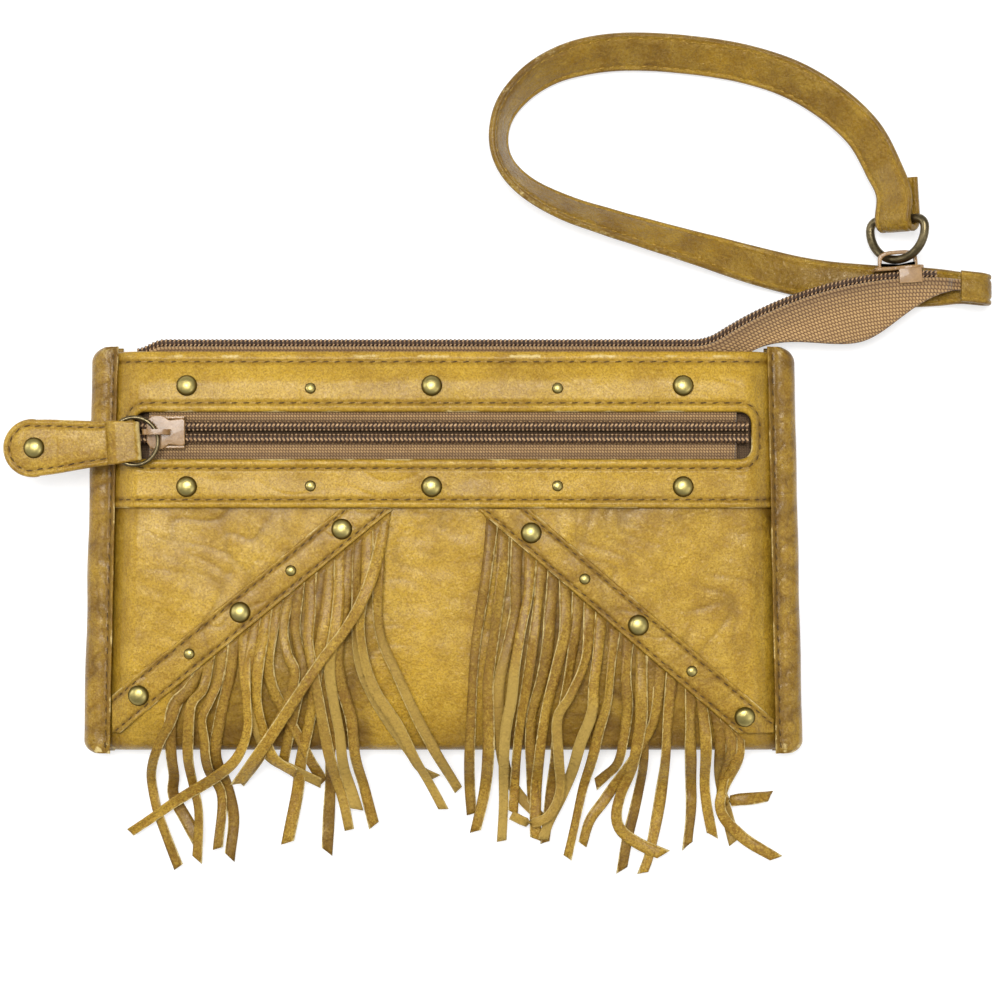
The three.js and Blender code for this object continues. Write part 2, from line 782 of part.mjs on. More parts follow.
// A closed wire along a flat loop.
function wireLoop(points, normal, radius, sides) {
  const positions = [];
  const index = [];
  const count = points.length;
  points.forEach((point, i) => {
    const before = points[(i + count - 1) % count];
    const after = points[(i + 1) % count];
    const along = after.clone().sub(before).normalize();
    const outward = new THREE.Vector3().crossVectors(along, normal);
    for (let k = 0; k < sides; k += 1) {
      const angle = 2 * Math.PI * k / sides;
      const place = point.clone();
      place.addScaledVector(outward, radius * Math.cos(angle));
      place.addScaledVector(normal, radius * Math.sin(angle));
      positions.push(place.x, place.y, place.z);
    }
  });
  for (let i = 0; i < count; i += 1) {
    for (let k = 0; k < sides; k += 1) {
      const a = i * sides + k;
      const b = i * sides + (k + 1) % sides;
      const d = ((i + 1) % count) * sides + k;
      const e = ((i + 1) % count) * sides + (k + 1) % sides;
      index.push(a, b, e, a, e, d);
    }
  }
  return geometryFrom(positions, index);
}

function dRing() {
  const corner = 2.4;
  const points = [];
  const place = (across, down) => {
    const point = ringBar.clone();
    point.addScaledVector(ringAcross, across);
    points.push(point.addScaledVector(ringUp, -down));
  };
  for (let i = 0; i <= 4; i += 1) place(mix(-1, 1, i / 4) * (ringHalfWidth - corner), 0);
  for (let i = 1; i <= 3; i += 1) {
    const angle = Math.PI / 2 * i / 3;
    place(ringHalfWidth - corner + corner * Math.sin(angle), corner * (1 - Math.cos(angle)));
  }
  for (let i = 1; i < 14; i += 1) {
    const angle = Math.PI * i / 14;
    place(ringHalfWidth * Math.cos(angle), corner + (ringDepth - corner) * Math.sin(angle));
  }
  for (let i = 0; i < 3; i += 1) {
    const angle = Math.PI / 2 * (1 - i / 3);
    place(-(ringHalfWidth - corner + corner * Math.sin(angle)), corner * (1 - Math.cos(angle)));
  }
  add('d_ring', wireLoop(points, ringNormal, ringWireRadius, 8), darkBrass);
}

// Wrist strap: from its fold round the ring's bar, round the loop, to its fold round the tail's end.
// Each stop on the loop gives a place and how far the strap leans.
const strapStops = [
  [118.6, 95.5, 38],
  [110.6, 110.6, 35],
  [96.2, 122.4, 32],
  [79.2, 128.7, 30],
  [57, 131.6, 30],
  [40.5, 131, 34],
  [27.6, 126.8, 48],
  [18.6, 119.4, 60],
  [14.8, 110.9, 68],
  [16, 102.6, 66],
  [22, 95.7, 58],
  [32.4, 90.2, 50],
  [46.5, 85.6, 44],
  [67.4, 79.5, 32],
  [86, 74.3, 10],
  [100, 71.4, 0],
  [116, 69.9, 0],
];

function leaning(along, lean) {
  const angle = THREE.MathUtils.degToRad(lean);
  const outward = new THREE.Vector3(along.y, -along.x, 0).normalize();
  return outward.multiplyScalar(Math.cos(angle)).add(new THREE.Vector3(0, 0, Math.sin(angle)));
}

function strapStations() {
  const stations = [];
  const lower = ringNormal.clone();
  const foldRadius = ringWireRadius + clearance + strapThickness / 2;
  const stop = (up, off) => {
    const point = ringBar.clone().addScaledVector(ringUp, up).addScaledVector(lower, off);
    stations.push({ point, across: ringAcross.clone() });
  };
  const legGap = (strapThickness + clearance) / 2 + 0.1;
  const sign = lower.z > 0 ? -1 : 1;
  stop(11, sign * legGap);
  stop(6.5, sign * (legGap + 0.4));
  for (let i = 0; i <= 8; i += 1) {
    const angle = Math.PI * i / 8;
    stop(-foldRadius * Math.sin(angle), sign * foldRadius * Math.cos(angle));
  }
  stop(6.5, -sign * (legGap + 0.5));
  const flat = new THREE.CatmullRomCurve3(
    strapStops.map(([x, y, lean]) => new THREE.Vector3(x, y, lean)),
    false,
    'centripetal',
  );
  const steps = 44;
  for (let i = 1; i <= steps; i += 1) {
    const place = flat.getPoint(i / steps);
    const along = flat.getTangent(i / steps);
    const angle = THREE.MathUtils.degToRad(place.z);
    const resting = strapWidth / 2 * Math.sin(angle) + strapThickness / 2 * Math.cos(angle) + 0.15;
    const lifted = 2.9 * (1 - smooth(i / 9));
    stations.push({
      point: new THREE.Vector3(place.x, place.y, resting + lifted),
      across: leaning(along, place.z),
    });
  }
  const end = (x, z) => {
    const point = new THREE.Vector3(x, besideZip(distanceAtTailX(x), -2.8, 0)[1], z);
    stations.push({ point, across: new THREE.Vector3(0, -1, 0) });
  };
  const wrapRadius = 2.5;
  end(122, 1.15);
  end(127, 1.3);
  end(132.6, 2.2);
  end(135.6, 3.9);
  end(138, mainZipHeight - wrapRadius);
  for (let i = 0; i <= 6; i += 1) {
    const angle = Math.PI * i / 6;
    end(tailEnd + 0.4 + wrapRadius * Math.sin(angle), mainZipHeight - wrapRadius * Math.cos(angle));
  }
  end(135.8, mainZipHeight + wrapRadius);
  return stations;
}

function wristStrap() {
  const stations = strapStations();
  const last = stations.length - 1;
  const normals = stations.map((station, i) => {
    const before = stations[Math.max(i - 1, 0)].point;
    const after = stations[Math.min(i + 1, last)].point;
    const along = after.clone().sub(before).normalize();
    return new THREE.Vector3().crossVectors(along, station.across).normalize();
  });
  const at = (r, c, face) => {
    const i = Math.round(r * last);
    const narrow = i > last - 10 ? 0.78 : 1;
    const point = stations[i].point.clone();
    point.addScaledVector(stations[i].across, (c - 0.5) * strapWidth * narrow);
    point.addScaledVector(normals[i], face * strapThickness / 2);
    return [point.x, point.y, point.z];
  };
  add('wrist_strap', sheet(last, 2, (r, c) => at(r, c, 1), (r, c) => at(r, c, -1)), strapLeather);
}

// Fringe: one leather piece along each band, cut into strands below its header.
// Each strand has the place of its tip as it lies, from the band's high end to its low end.
const leftTips = [
  [5, -62], [1, -66], [-3, -70], [-9, -64], [-15, -73], [-19, -68], [-24, -76], [-29, -79], [-33, -71],
  [-38, -78], [-43, -80], [-46, -73], [-51, -77], [-56, -82], [-60, -76], [-65, -81], [-80, -74], [-70, -83],
];
const rightTips = [
  [8.5, -75], [12, -70], [15.5, -77], [19, -69], [23, -75], [27, -77], [30.5, -71], [33.5, -81], [37.5, -77],
  [41, -70], [44, -76], [48, -84], [51.5, -74], [58, -80], [61, -70], [67, -68], [76, -76], [87, -80],
];

function strand(root, tip, order) {
  const rows = 7;
  const layer = (order % 3) * (strandThickness + 0.15);
  const sway = (order % 2 ? 1 : -1) * 1.5;
  const centre = (t) => {
    const x = mix(root[0], tip[0], smooth(t) * 0.5 + t * t * 0.5) + sway * Math.sin(Math.PI * t * 1.6);
    const y = mix(root[1], tip[1], t);
    const edge = front(x, bodyBottom) + clearance;
    const onPouch = front(x, Math.max(y, bodyBottom)) + clearance;
    const fall = smooth((bodyBottom + 0.5 - y) / 14);
    const z = y > bodyBottom + 0.5 ? onPouch : mix(edge, 0.35, fall);
    return [x, y, z + layer * smooth(t * 3)];
  };
  const at = (r, c, face) => {
    const middle = centre(r);
    const width = strandWidth * (r > 0.95 ? 0.55 : 1);
    return [middle[0] + (c - 0.5) * width, middle[1], middle[2] + face * strandThickness];
  };
  return sheet(rows, 1, (r, c) => at(r, c, 1), (r, c) => at(r, c, 0));
}

function fringe(name, band, tips, side) {
  const along = new THREE.Vector2(band.low[0] - band.high[0], band.low[1] - band.high[1]).normalize();
  const down = new THREE.Vector2(-along.y * side, along.x * side);
  const seam = trimWidth / 2 + clearance;
  const on = (share, offset) => [
    mix(band.high[0], band.low[0], share) + down.x * offset,
    mix(band.high[1], band.low[1], share) + down.y * offset,
  ];
  const first = 0.02;
  const final = 0.97;
  const at = (r, c, face) => {
    const place = on(mix(first, final, r), mix(seam, seam + fringeHeader, c));
    return frontPoint(place[0], place[1], clearance + face * strandThickness);
  };
  const header = sheet(16, 2, (r, c) => at(r, c, 1), (r, c) => at(r, c, 0));
  const strands = tips.map((tip, i) => {
    const share = mix(first, final, (i + 0.5) / tips.length);
    return strand(on(share, seam + fringeHeader - 1.6), tip, i);
  });
  add(name, joined([header, ...strands]), fringeLeather);
}

bodyPanel();
mainLining();
pocketLining();
zipFramePanel();
edgeBinding('left_edge_binding', -1);
edgeBinding('right_edge_binding', 1);
trimBand('left_trim_band', leftTrim.high, leftTrim.low);
trimBand('right_trim_band', rightTrim.high, rightTrim.low);
studs();
pocketZipHalf('upper', 1);
pocketZipHalf('lower', -1);
pocketSlider();
pullRing();
pullTab();
mainTape('main_zip_front_tape', 1);
mainTape('main_zip_back_tape', -1);
mainCoil('main_zip_front_coil', 1);
mainCoil('main_zip_back_coil', -1);
mainSlider();
dRing();
wristStrap();
fringe('left_fringe', leftTrim, leftTips, 1);
fringe('right_fringe', rightTrim, rightTips, -1);

export default part;
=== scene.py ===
"""Looks of the fringed zip pouch with its wrist strap, laid out as an add-on.

Lengths in the shape functions are millimetres, in the frame of the CAD model; meshes are made in metres.
"""

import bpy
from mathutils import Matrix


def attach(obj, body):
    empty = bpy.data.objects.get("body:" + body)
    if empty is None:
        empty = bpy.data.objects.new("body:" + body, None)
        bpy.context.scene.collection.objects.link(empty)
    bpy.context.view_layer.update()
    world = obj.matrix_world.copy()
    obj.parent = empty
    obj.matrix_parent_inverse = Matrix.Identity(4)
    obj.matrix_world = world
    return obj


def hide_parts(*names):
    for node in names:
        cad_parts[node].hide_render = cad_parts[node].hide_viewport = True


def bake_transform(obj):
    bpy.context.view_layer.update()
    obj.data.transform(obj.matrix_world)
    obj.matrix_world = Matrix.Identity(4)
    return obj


bl_info = {
    "name": "Fringed zip pouch",
    "version": (1, 0, 0),
    "blender": (4, 5, 0),
    "location": "3D View > Sidebar > Pouch",
    "description": "Leather, zips, studs, fringe and wrist strap of a small pouch",
    "category": "Object",
}

import math

import bmesh
import bpy
import numpy as np
from mathutils import Vector

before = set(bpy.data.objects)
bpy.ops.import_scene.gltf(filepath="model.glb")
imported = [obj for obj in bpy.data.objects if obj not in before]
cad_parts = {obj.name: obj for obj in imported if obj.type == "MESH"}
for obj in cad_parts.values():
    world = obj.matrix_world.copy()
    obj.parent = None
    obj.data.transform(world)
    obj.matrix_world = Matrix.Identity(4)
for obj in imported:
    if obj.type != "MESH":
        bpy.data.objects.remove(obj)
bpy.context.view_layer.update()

MM = 0.001

# Sizes of the pouch, the same as in its CAD source

CLEARANCE = 0.3
BODY_TOP_WIDTH = 186
BODY_BOTTOM_WIDTH = 190.6
BODY_TOP = 51.7
BODY_BOTTOM = -53.5
LEATHER = 1.2
FRONT_HEIGHT = 12.8
TOP_EDGE_HEIGHT = 10.4
SIDE_HEIGHT = 6
FOLD_HEIGHT = 8
SHOULDER = 11
TOP_SLOPE = 11
BOTTOM_SLOPE = 30
BACK_LIFT = 1.3
BINDING_WIDTH = 7.6
BINDING_ROUND = 3
FRAME_BOTTOM = 10.6
FRAME_LAP = 8.4
FOLD_REACH = 3.8
WINDOW = (-80.6, 80.8, 23.4, 35.7)
WINDOW_ROUND = 3
POCKET_ZIP_Y = 30.4
TRIM_WIDTH = 9
TRIM_THICKNESS = 0.9
LEFT_TRIM = ((-26.3, 5.1), (-79.5, -38.4))
RIGHT_TRIM = ((23.2, 4.1), (79.2, -44.1))
STUD_LARGE = (2.75, 1.7)
STUD_SMALL = (1.45, 0.9)
STRAND_WIDTH = 3.1
STRAND_THICKNESS = 0.8
FRINGE_HEADER = 5
COIL_DEPTH = 2
CHAIN_GAP = 1.2
TAPE = 0.6
MAIN_ZIP_Z = 7.2
MAIN_ZIP_LEFT = -80.5
MAIN_TAPE_FOOT = 46
MAIN_ZIP_Y = 54.05
TAIL_RADIUS = 100.6
TAIL_X = 127.6
TAIL_Y = -28.4
TAIL_BEND = 14
TAIL_COIL_END = 130.5
TAIL_END = 141
STRAP_WIDTH = 10.6
STRAP_THICKNESS = 1.9
RING_WIRE = 1.15
RING_HALF = 8.3
RING_DEPTH = 10.6
RING_TILT = math.radians(40)
PULL_RING_RADIUS = 6.2
PULL_RING_WIRE = 0.55
PULL_PIN_X = -73.9
POCKET_TAPE_Z = 12.8
PULL_PIN_Z = 17.2
PULL_RING_Y = POCKET_ZIP_Y - 2.4
TAB_THICKNESS = 3.2
TAB_END_RADIUS = 7.6
TAB_LENGTH = 35.6
TAB_FOLD_HALF = 5
TAB_NECK_HALF = 5.8
TAB_TURN = math.atan2(2.0, 29)
MAIN_SLIDER_X = 120.3
BINDING_SEAM = 1.3
BINDING_TOP_ROUND = 4.2
BINDING_LOW_ROUND = 3.4
BAND_SEAM = 1.25
STRAP_SEAM = 1.45
TAB_SEAM = 1.7
SHOULDER_CROWDING = 1.35
BAND_CROWDING = 1.3


def smooth(value):
    t = np.clip(value, 0, 1)
    return t * t * (3 - 2 * t)


def mix(a, b, t):
    return a + (b - a) * t


def unit(rows):
    """Vectors along the last axis, each made one long."""
    return rows / np.linalg.norm(rows, axis=-1, keepdims=True)


def crowded(count, power=SHOULDER_CROWDING):
    """Shares from -1 to 1, closer together at both ends."""
    share = np.linspace(-1, 1, count)
    return np.sign(share) * (1 - (1 - np.abs(share)) ** power)


def half_width(y):
    return mix(BODY_BOTTOM_WIDTH, BODY_TOP_WIDTH, (y - BODY_BOTTOM) / (BODY_TOP - BODY_BOTTOM)) / 2


def panel_half_width(y):
    return half_width(y) - BINDING_ROUND


def front(x, y):
    """Height of the front leather's outer face."""
    top_drop = smooth((y - BODY_TOP + TOP_SLOPE) / TOP_SLOPE) ** 1.5
    bottom_drop = np.maximum(0, (BODY_BOTTOM + BOTTOM_SLOPE - y) / BOTTOM_SLOPE) ** 2.4
    middle = FRONT_HEIGHT - (FRONT_HEIGHT - TOP_EDGE_HEIGHT) * top_drop
    middle = middle - (FRONT_HEIGHT - FOLD_HEIGHT) * bottom_drop
    shoulder = 1 - smooth((np.abs(x) - (panel_half_width(y) - SHOULDER)) / (SHOULDER - 1.5))
    return SIDE_HEIGHT + (middle - SIDE_HEIGHT) * shoulder


def back(x, y):
    return BACK_LIFT * smooth((np.abs(x) - (half_width(y) - BINDING_WIDTH - 5)) / 4.5)


def over_shoulder(x):
    """How far a band rises where it goes over the side of the body."""
    start = panel_half_width(BODY_BOTTOM) - SHOULDER - 4
    return 2 * CLEARANCE * smooth((np.abs(x) - start) / 5)


def window_distance(x, y):
    """How far a point lies outside the pocket's rounded window; negative inside it."""
    left, right, low, high = WINDOW
    dx = np.abs(x - (left + right) / 2) - (right - left) / 2 + WINDOW_ROUND
    dy = np.abs(y - (low + high) / 2) - (high - low) / 2 + WINDOW_ROUND
    outside = np.hypot(np.maximum(dx, 0), np.maximum(dy, 0))
    return outside + np.minimum(np.maximum(dx, dy), 0) - WINDOW_ROUND


def lumps(x, y, size, seed):
    """Soft uneven height from -1 to 1: a sum of long waves in fixed directions."""
    source = np.random.RandomState(seed)
    total = np.zeros(np.broadcast(x, y).shape)
    waves = 7
    for _ in range(waves):
        angle = source.uniform(0, 2 * math.pi)
        length = size * source.uniform(0.6, 1.7)
        phase = source.uniform(0, 2 * math.pi)
        reach = (x * math.cos(angle) + y * math.sin(angle)) * 2 * math.pi / length
        total = total + np.sin(reach + phase)
    return total / waves ** 0.5 / 1.6


def creases(x, y, size, seed):
    """Narrow furrows between broad folds: 0 on a fold, down to -1 in a furrow."""
    bend = lumps(x, y, size * 2.4, seed + 1) * size * 0.5
    value = lumps(x + bend, y + bend * 0.6, size, seed)
    return -np.exp(-((value / 0.16) ** 2))


def patchy(x, y, size, seed):
    """Uneven patches from 0 to 1."""
    return smooth(lumps(x, y, size, seed) * 1.1 + 0.45)


def furrow(distance, width):
    """Depth share of a sewn line, 1 on the line."""
    return np.exp(-((distance / width) ** 2))


def rim_drop(inside, radius):
    """How far a rounded rim falls away near an edge."""
    away = np.clip(radius - inside, 0, radius)
    return radius - np.sqrt(np.maximum(radius ** 2 - away ** 2, 0))


def resampled(points, measured, count=None, pitch=None):
    """Rows set evenly along a line and their distances, with lengths measured in its first columns."""
    steps = np.linalg.norm(np.diff(points[:, :measured], axis=0), axis=1)
    lengths = np.concatenate([[0], np.cumsum(steps)])
    wanted = np.linspace(0, lengths[-1], count) if count else np.arange(0, lengths[-1], pitch)
    return np.stack([np.interp(wanted, lengths, column) for column in points.T], axis=1), wanted


def with_ends(stops):
    """The stops with one more at each end, in line with the last two."""
    return np.vstack([2 * stops[0] - stops[1], stops, 2 * stops[-1] - stops[-2]])


def smooth_path(stops, count):
    """Points evenly spread along a smooth curve through the stops."""
    ends = with_ends(np.asarray(stops, float))
    fine = []
    for i in range(1, len(ends) - 2):
        a, b, c, d = ends[i - 1:i + 3]
        for t in np.linspace(0, 1, 16, endpoint=False):
            bent = (2 * a - 5 * b + 4 * c - d) * t ** 2 + (3 * b - a - 3 * c + d) * t ** 3
            fine.append(0.5 * (2 * b + (c - a) * t + bent))
    return resampled(np.array([*fine, ends[-2]]), 2, count)[0]


# Meshes

def new_object(name, data):
    made = bpy.data.objects.new(name, data)
    bpy.context.scene.collection.objects.link(made)
    return made


def new_piece(name, points, faces, kind):
    """A smooth mesh object at the origin from points in millimetres."""
    mesh = bpy.data.meshes.new(name)
    mesh.from_pydata([tuple(p) for p in np.asarray(points, float) * MM], [], faces)
    mesh.update()
    mesh.polygons.foreach_set("use_smooth", [True] * len(mesh.polygons))
    mesh.materials.append(own_material(kind))
    return new_object(name, mesh)


def set_mark(piece, name, values):
    """Keeps a number for each point, which the piece's material reads."""
    mark = piece.data.attributes.get(name) or piece.data.attributes.new(name, "FLOAT", "POINT")
    mark.data.foreach_set("value", np.asarray(values, np.float32).ravel())


def outward(piece):
    """Turns the faces of a closed mesh outwards."""
    work = bmesh.new()
    work.from_mesh(piece.data)
    if work.calc_volume(signed=True) < 0:
        bmesh.ops.reverse_faces(work, faces=work.faces)
    work.to_mesh(piece.data)
    work.free()
    piece.data.update()


def sheet_piece(name, upper, lower, kind, marks):
    """A closed sheet between two grids of points, with walls round its four edges."""
    rows, columns = upper.shape[:2]
    count = rows * columns
    faces = []
    for start, order in ((0, 1), (count, -1)):
        for r in range(rows - 1):
            here = start + r * columns
            for c in range(here, here + columns - 1):
                faces.append((c, c + 1, c + columns + 1, c + columns)[::order])
    border = [*range(columns)]
    border += [r * columns + columns - 1 for r in range(1, rows)]
    border += [(rows - 1) * columns + c for c in range(columns - 2, -1, -1)]
    border += [r * columns for r in range(rows - 2, 0, -1)]
    for a, b in zip(border, border[1:] + border[:1]):
        faces.append((b, a, count + a, count + b))
    points = np.concatenate([upper.reshape(-1, 3), lower.reshape(-1, 3)])
    piece = new_piece(name, points, faces, kind)
    for mark, values in marks.items():
        set_mark(piece, mark, np.tile(np.broadcast_to(values, (rows, columns)).ravel(), 2))
    outward(piece)
    return piece


def tube_piece(name, rings, kind, closed=False, marks=None):
    """A tube through rings of points, an array of rings x points x 3, with its ends filled."""
    count, sides = rings.shape[:2]
    faces = []
    for r in range(count if closed else count - 1):
        here = r * sides
        there = (r + 1) % count * sides
        for k in range(sides):
            n = (k + 1) % sides
            faces.append((here + k, here + n, there + n, there + k))
    ends = (range(sides), range((count - 1) * sides, count * sides))
    if not closed:
        faces += [tuple(ends[0])[::-1], tuple(ends[1])]
    piece = new_piece(name, rings.reshape(-1, 3), faces, kind)
    for mark, values in (marks or {}).items():
        set_mark(piece, mark, np.broadcast_to(values, (count, sides)))
    outward(piece)
    if not closed:
        on_end = {*ends[0], *ends[1]}
        for edge in piece.data.edges:
            edge.use_edge_sharp = edge.vertices[0] in on_end and edge.vertices[1] in on_end
    return piece


def join_pieces(name, pieces):
    """Joins pieces into the first one, which takes the name."""
    bpy.ops.object.select_all(action="DESELECT")
    for piece in pieces:
        piece.select_set(True)
    bpy.context.view_layer.objects.active = pieces[0]
    bpy.ops.object.join()
    pieces[0].name = name
    pieces[0].data.name = name
    return pieces[0]


def finish_piece(piece, body, slot, *nodes):
    """Rides on its body and stands for its CAD nodes, which it hides; its slot is not used."""
    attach(piece, body)
    if nodes:
        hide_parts(*nodes)


# Node trees for the finishes; a socket knows its own tree

def linear(red, green, blue):
    """A colour given as it looks on a screen, 0 to 255, for a shader socket."""
    shares = (value / 255 for value in (red, green, blue))
    return (*(s / 12.92 if s <= 0.04045 else ((s + 0.055) / 1.055) ** 2.4 for s in shares), 1)


def set_inputs(node, inputs):
    """Sets a node's inputs; a value that is a socket is linked."""
    for key, value in inputs.items():
        if isinstance(value, bpy.types.NodeSocket):
            node.id_data.links.new(value, node.inputs[key])
        else:
            node.inputs[key].default_value = value


def add_node(tree, kind, inputs=None, **settings):
    node = tree.nodes.new(kind)
    for key, value in settings.items():
        setattr(node, key, value)
    set_inputs(node, inputs or {})
    return node


def calc(operation, first, second=0.0):
    tree = (first if isinstance(first, bpy.types.NodeSocket) else second).id_data
    return add_node(tree, "ShaderNodeMath", {0: first, 1: second}, operation=operation).outputs[0]


def times(first, second):
    return calc("MULTIPLY", first, second)


def plus(first, second):
    return calc("ADD", first, second)


def blend_colours(share, first, second):
    inputs = {0: share, 6: first, 7: second}
    return add_node(share.id_data, "ShaderNodeMix", inputs, data_type="RGBA").outputs[2]


def ramp_value(value, low, high, out_low=0.0, out_high=1.0):
    inputs = {"Value": value, "From Min": low, "From Max": high, "To Min": out_low, "To Max": out_high}
    node = add_node(value.id_data, "ShaderNodeMapRange", inputs, interpolation_type="SMOOTHSTEP")
    return node.outputs["Result"]


def noise(vector, scale, detail, roughness, distortion=0.0):
    inputs = {"Scale": scale, "Detail": detail, "Roughness": roughness, "Distortion": distortion}
    return add_node(vector.id_data, "ShaderNodeTexNoise", {"Vector": vector, **inputs}).outputs["Fac"]


def new_group(name, inputs, outputs):
    """An empty shader group, what it is given, and its end; an input without a default is a place."""
    group = bpy.data.node_groups.new(name, "ShaderNodeTree")
    kinds = {type(None): "Vector", tuple: "Color", float: "Float"}
    for socket, default in inputs.items():
        kind = "NodeSocket" + kinds[type(default)]
        made = group.interface.new_socket(socket, in_out="INPUT", socket_type=kind)
        if default is not None:
            made.default_value = default
    for socket in outputs:
        kind = "NodeSocketColor" if socket == "Colour" else "NodeSocketFloat"
        group.interface.new_socket(socket, in_out="OUTPUT", socket_type=kind)
    return group, group.nodes.new("NodeGroupInput").outputs, group.nodes.new("NodeGroupOutput")


def leather_group(name):
    """Cloudy, dappled colour with fine pebble grain, in the object's own coordinates."""
    inputs = {
        "Place": None,
        "Colour": (0.5, 0.33, 0.09, 1),
        "Pale": (0.6, 0.44, 0.18, 1),
        "Dark": (0.3, 0.18, 0.04, 1),
        "Clouds": 0.6,
        "Dapples": 0.5,
        "Grain Size": 1.0,
    }
    group, given, end = new_group(name, inputs, ("Colour", "Gloss", "Height"))
    place, clouds, dapples = given["Place"], given["Clouds"], given["Dapples"]
    sized = {0: place, "Scale": given["Grain Size"]}
    fine = add_node(group, "ShaderNodeVectorMath", sized, operation="SCALE").outputs[0]
    cloud = ramp_value(noise(place, 42, 3, 0.6), 0.34, 0.7)
    patch = ramp_value(noise(place, 110, 4, 0.62), 0.38, 0.68)
    dapple = ramp_value(noise(fine, 900, 5, 0.75), 0.44, 0.6)
    speckle = ramp_value(noise(fine, 1900, 3, 0.7), 0.44, 0.62)
    tone = blend_colours(times(cloud, clouds), given["Colour"], given["Dark"])
    tone = blend_colours(times(patch, times(clouds, 0.7)), tone, given["Pale"])
    tone = blend_colours(times(dapple, times(dapples, 0.75)), tone, given["Pale"])
    tone = blend_colours(times(speckle, times(dapples, 0.95)), tone, given["Dark"])
    cells = add_node(group, "ShaderNodeTexVoronoi", {"Vector": fine, "Scale": 900.0}, feature="SMOOTH_F1")
    pebbles = ramp_value(cells.outputs["Distance"], 0.05, 0.7, 1.0, 0.0)
    veins = ramp_value(noise(fine, 260, 4, 0.7, 0.6), 0.44, 0.56)
    height = plus(plus(times(pebbles, 0.55), times(veins, 0.6)), times(dapple, 0.3))
    gloss = calc("SUBTRACT", patch, times(dapple, 0.5))
    set_inputs(end, {"Colour": tone, "Gloss": gloss, "Height": height})
    return group


def shade_and_wear_group(name):
    """Rubbed pale places, on some edges also a painted highlight, and darkening that is partly dirt and
    partly painted shade, broken up so that neither has a clean border.
    """
    inputs = {
        "Place": None,
        "Colour": (0.5, 0.33, 0.09, 1),
        "Rubbed": (0.75, 0.62, 0.36, 1),
        "Dirt and Shade": (0.16, 0.09, 0.02, 1),
        "Wear": 0.0,
        "Shade": 0.0,
    }
    group, given, end = new_group(name, inputs, ("Colour", "Bareness"))
    place, wear = given["Place"], given["Wear"]
    broken = noise(place, 520, 5, 0.72)
    soft = noise(place, 150, 3, 0.6)
    bare = ramp_value(plus(wear, calc("SUBTRACT", broken, 0.98)), -0.12, 0.2)
    bare = times(bare, ramp_value(wear, 0.0, 0.3))
    # The shade mark darkens towards the dirt-and-shade colour: partly real dirt, partly painted shade in
    # furrows, seams and under parts.
    dirt_and_shade = times(given["Shade"], ramp_value(soft, 0.2, 0.7, 0.55, 1.0))
    tone = blend_colours(dirt_and_shade, given["Colour"], given["Dirt and Shade"])
    set_inputs(end, {"Colour": blend_colours(bare, tone, given["Rubbed"]), "Bareness": bare})
    return group


def weave_group(name):
    """Rows of slanted stitches of a woven tape, on the piece's own map in millimetres, with a painted
    highlight on the raised threads and painted shade in the gaps.
    """
    inputs = {
        "Place": None,
        "Colour": (0.3, 0.18, 0.1, 1),
        "Thread": (0.5, 0.33, 0.2, 1),
        "Shaded Gap": (0.1, 0.05, 0.03, 1),
        "Pitch": 0.8,
    }
    group, given, end = new_group(name, inputs, ("Colour", "Height"))
    parts = add_node(group, "ShaderNodeSeparateXYZ", {0: given["Place"]}).outputs
    along = calc("DIVIDE", parts[0], given["Pitch"])
    across = calc("DIVIDE", parts[1], given["Pitch"])
    odd = times(calc("MODULO", calc("FLOOR", across), 2.0), 0.5)
    shifted = plus(plus(along, odd), times(across, 0.45))
    ribs, rows = (calc("ABSOLUTE", calc("SINE", times(line, math.pi))) for line in (shifted, across))
    height = times(calc("POWER", ribs, 0.7), calc("POWER", rows, 0.5))
    uneven = ramp_value(noise(given["Place"], 0.5, 3, 0.6), 0.2, 0.75, 0.6, 1.0)
    # Raised threads are painted lighter and the gaps darker by the weave's height: painted highlight and
    # painted shade.
    lit = times(ramp_value(height, 0.3, 0.95), uneven)
    tone = blend_colours(ramp_value(height, 0.05, 0.45), given["Shaded Gap"], given["Colour"])
    set_inputs(end, {"Colour": blend_colours(lit, tone, given["Thread"]), "Height": height})
    return group


def patina_group(name):
    """Aged metal: bright where it is rubbed, dark and dull in its corners."""
    inputs = {
        "Place": None,
        "Bright": (0.6, 0.5, 0.2, 1),
        "Aged": (0.1, 0.08, 0.03, 1),
        "Age": 0.4,
        "Shade": 0.0,
    }
    group, given, end = new_group(name, inputs, ("Colour", "Roughness", "Height"))
    blotch = ramp_value(noise(given["Place"], 420, 4, 0.65), 0.35, 0.72)
    fine = noise(given["Place"], 2600, 3, 0.6)
    share = calc("MAXIMUM", times(blotch, given["Age"]), given["Shade"])
    tone = blend_colours(share, given["Bright"], given["Aged"])
    rough = plus(times(share, 0.25), ramp_value(fine, 0.3, 0.7, 0.3, 0.44))
    set_inputs(end, {"Colour": tone, "Roughness": rough, "Height": fine})
    return group


def shared_tree(make, name):
    return bpy.data.node_groups.get(name) or make(name)


def placed_group(tree, make, name, inputs):
    """The outputs of a shared group's node, with its inputs set."""
    node = tree.nodes.new("ShaderNodeGroup")
    node.node_tree = shared_tree(make, name)
    set_inputs(node, inputs)
    return node.outputs


def mottled(tree, inputs):
    return placed_group(tree, leather_group, "Mottled leather", inputs)


def rubbed_dirty_shaded(tree, inputs):
    return placed_group(tree, shade_and_wear_group, "Rubbed, dirty and shaded", inputs)


def woven(tree, inputs):
    return placed_group(tree, weave_group, "Woven tape", inputs)


def new_material(name):
    """A material with its principled shader, and the object's own coordinates."""
    material = bpy.data.materials.new(name)
    material.use_nodes = True
    tree = material.node_tree
    place = tree.nodes.new("ShaderNodeTexCoord").outputs["Object"]
    return material, tree, tree.nodes["Principled BSDF"], place


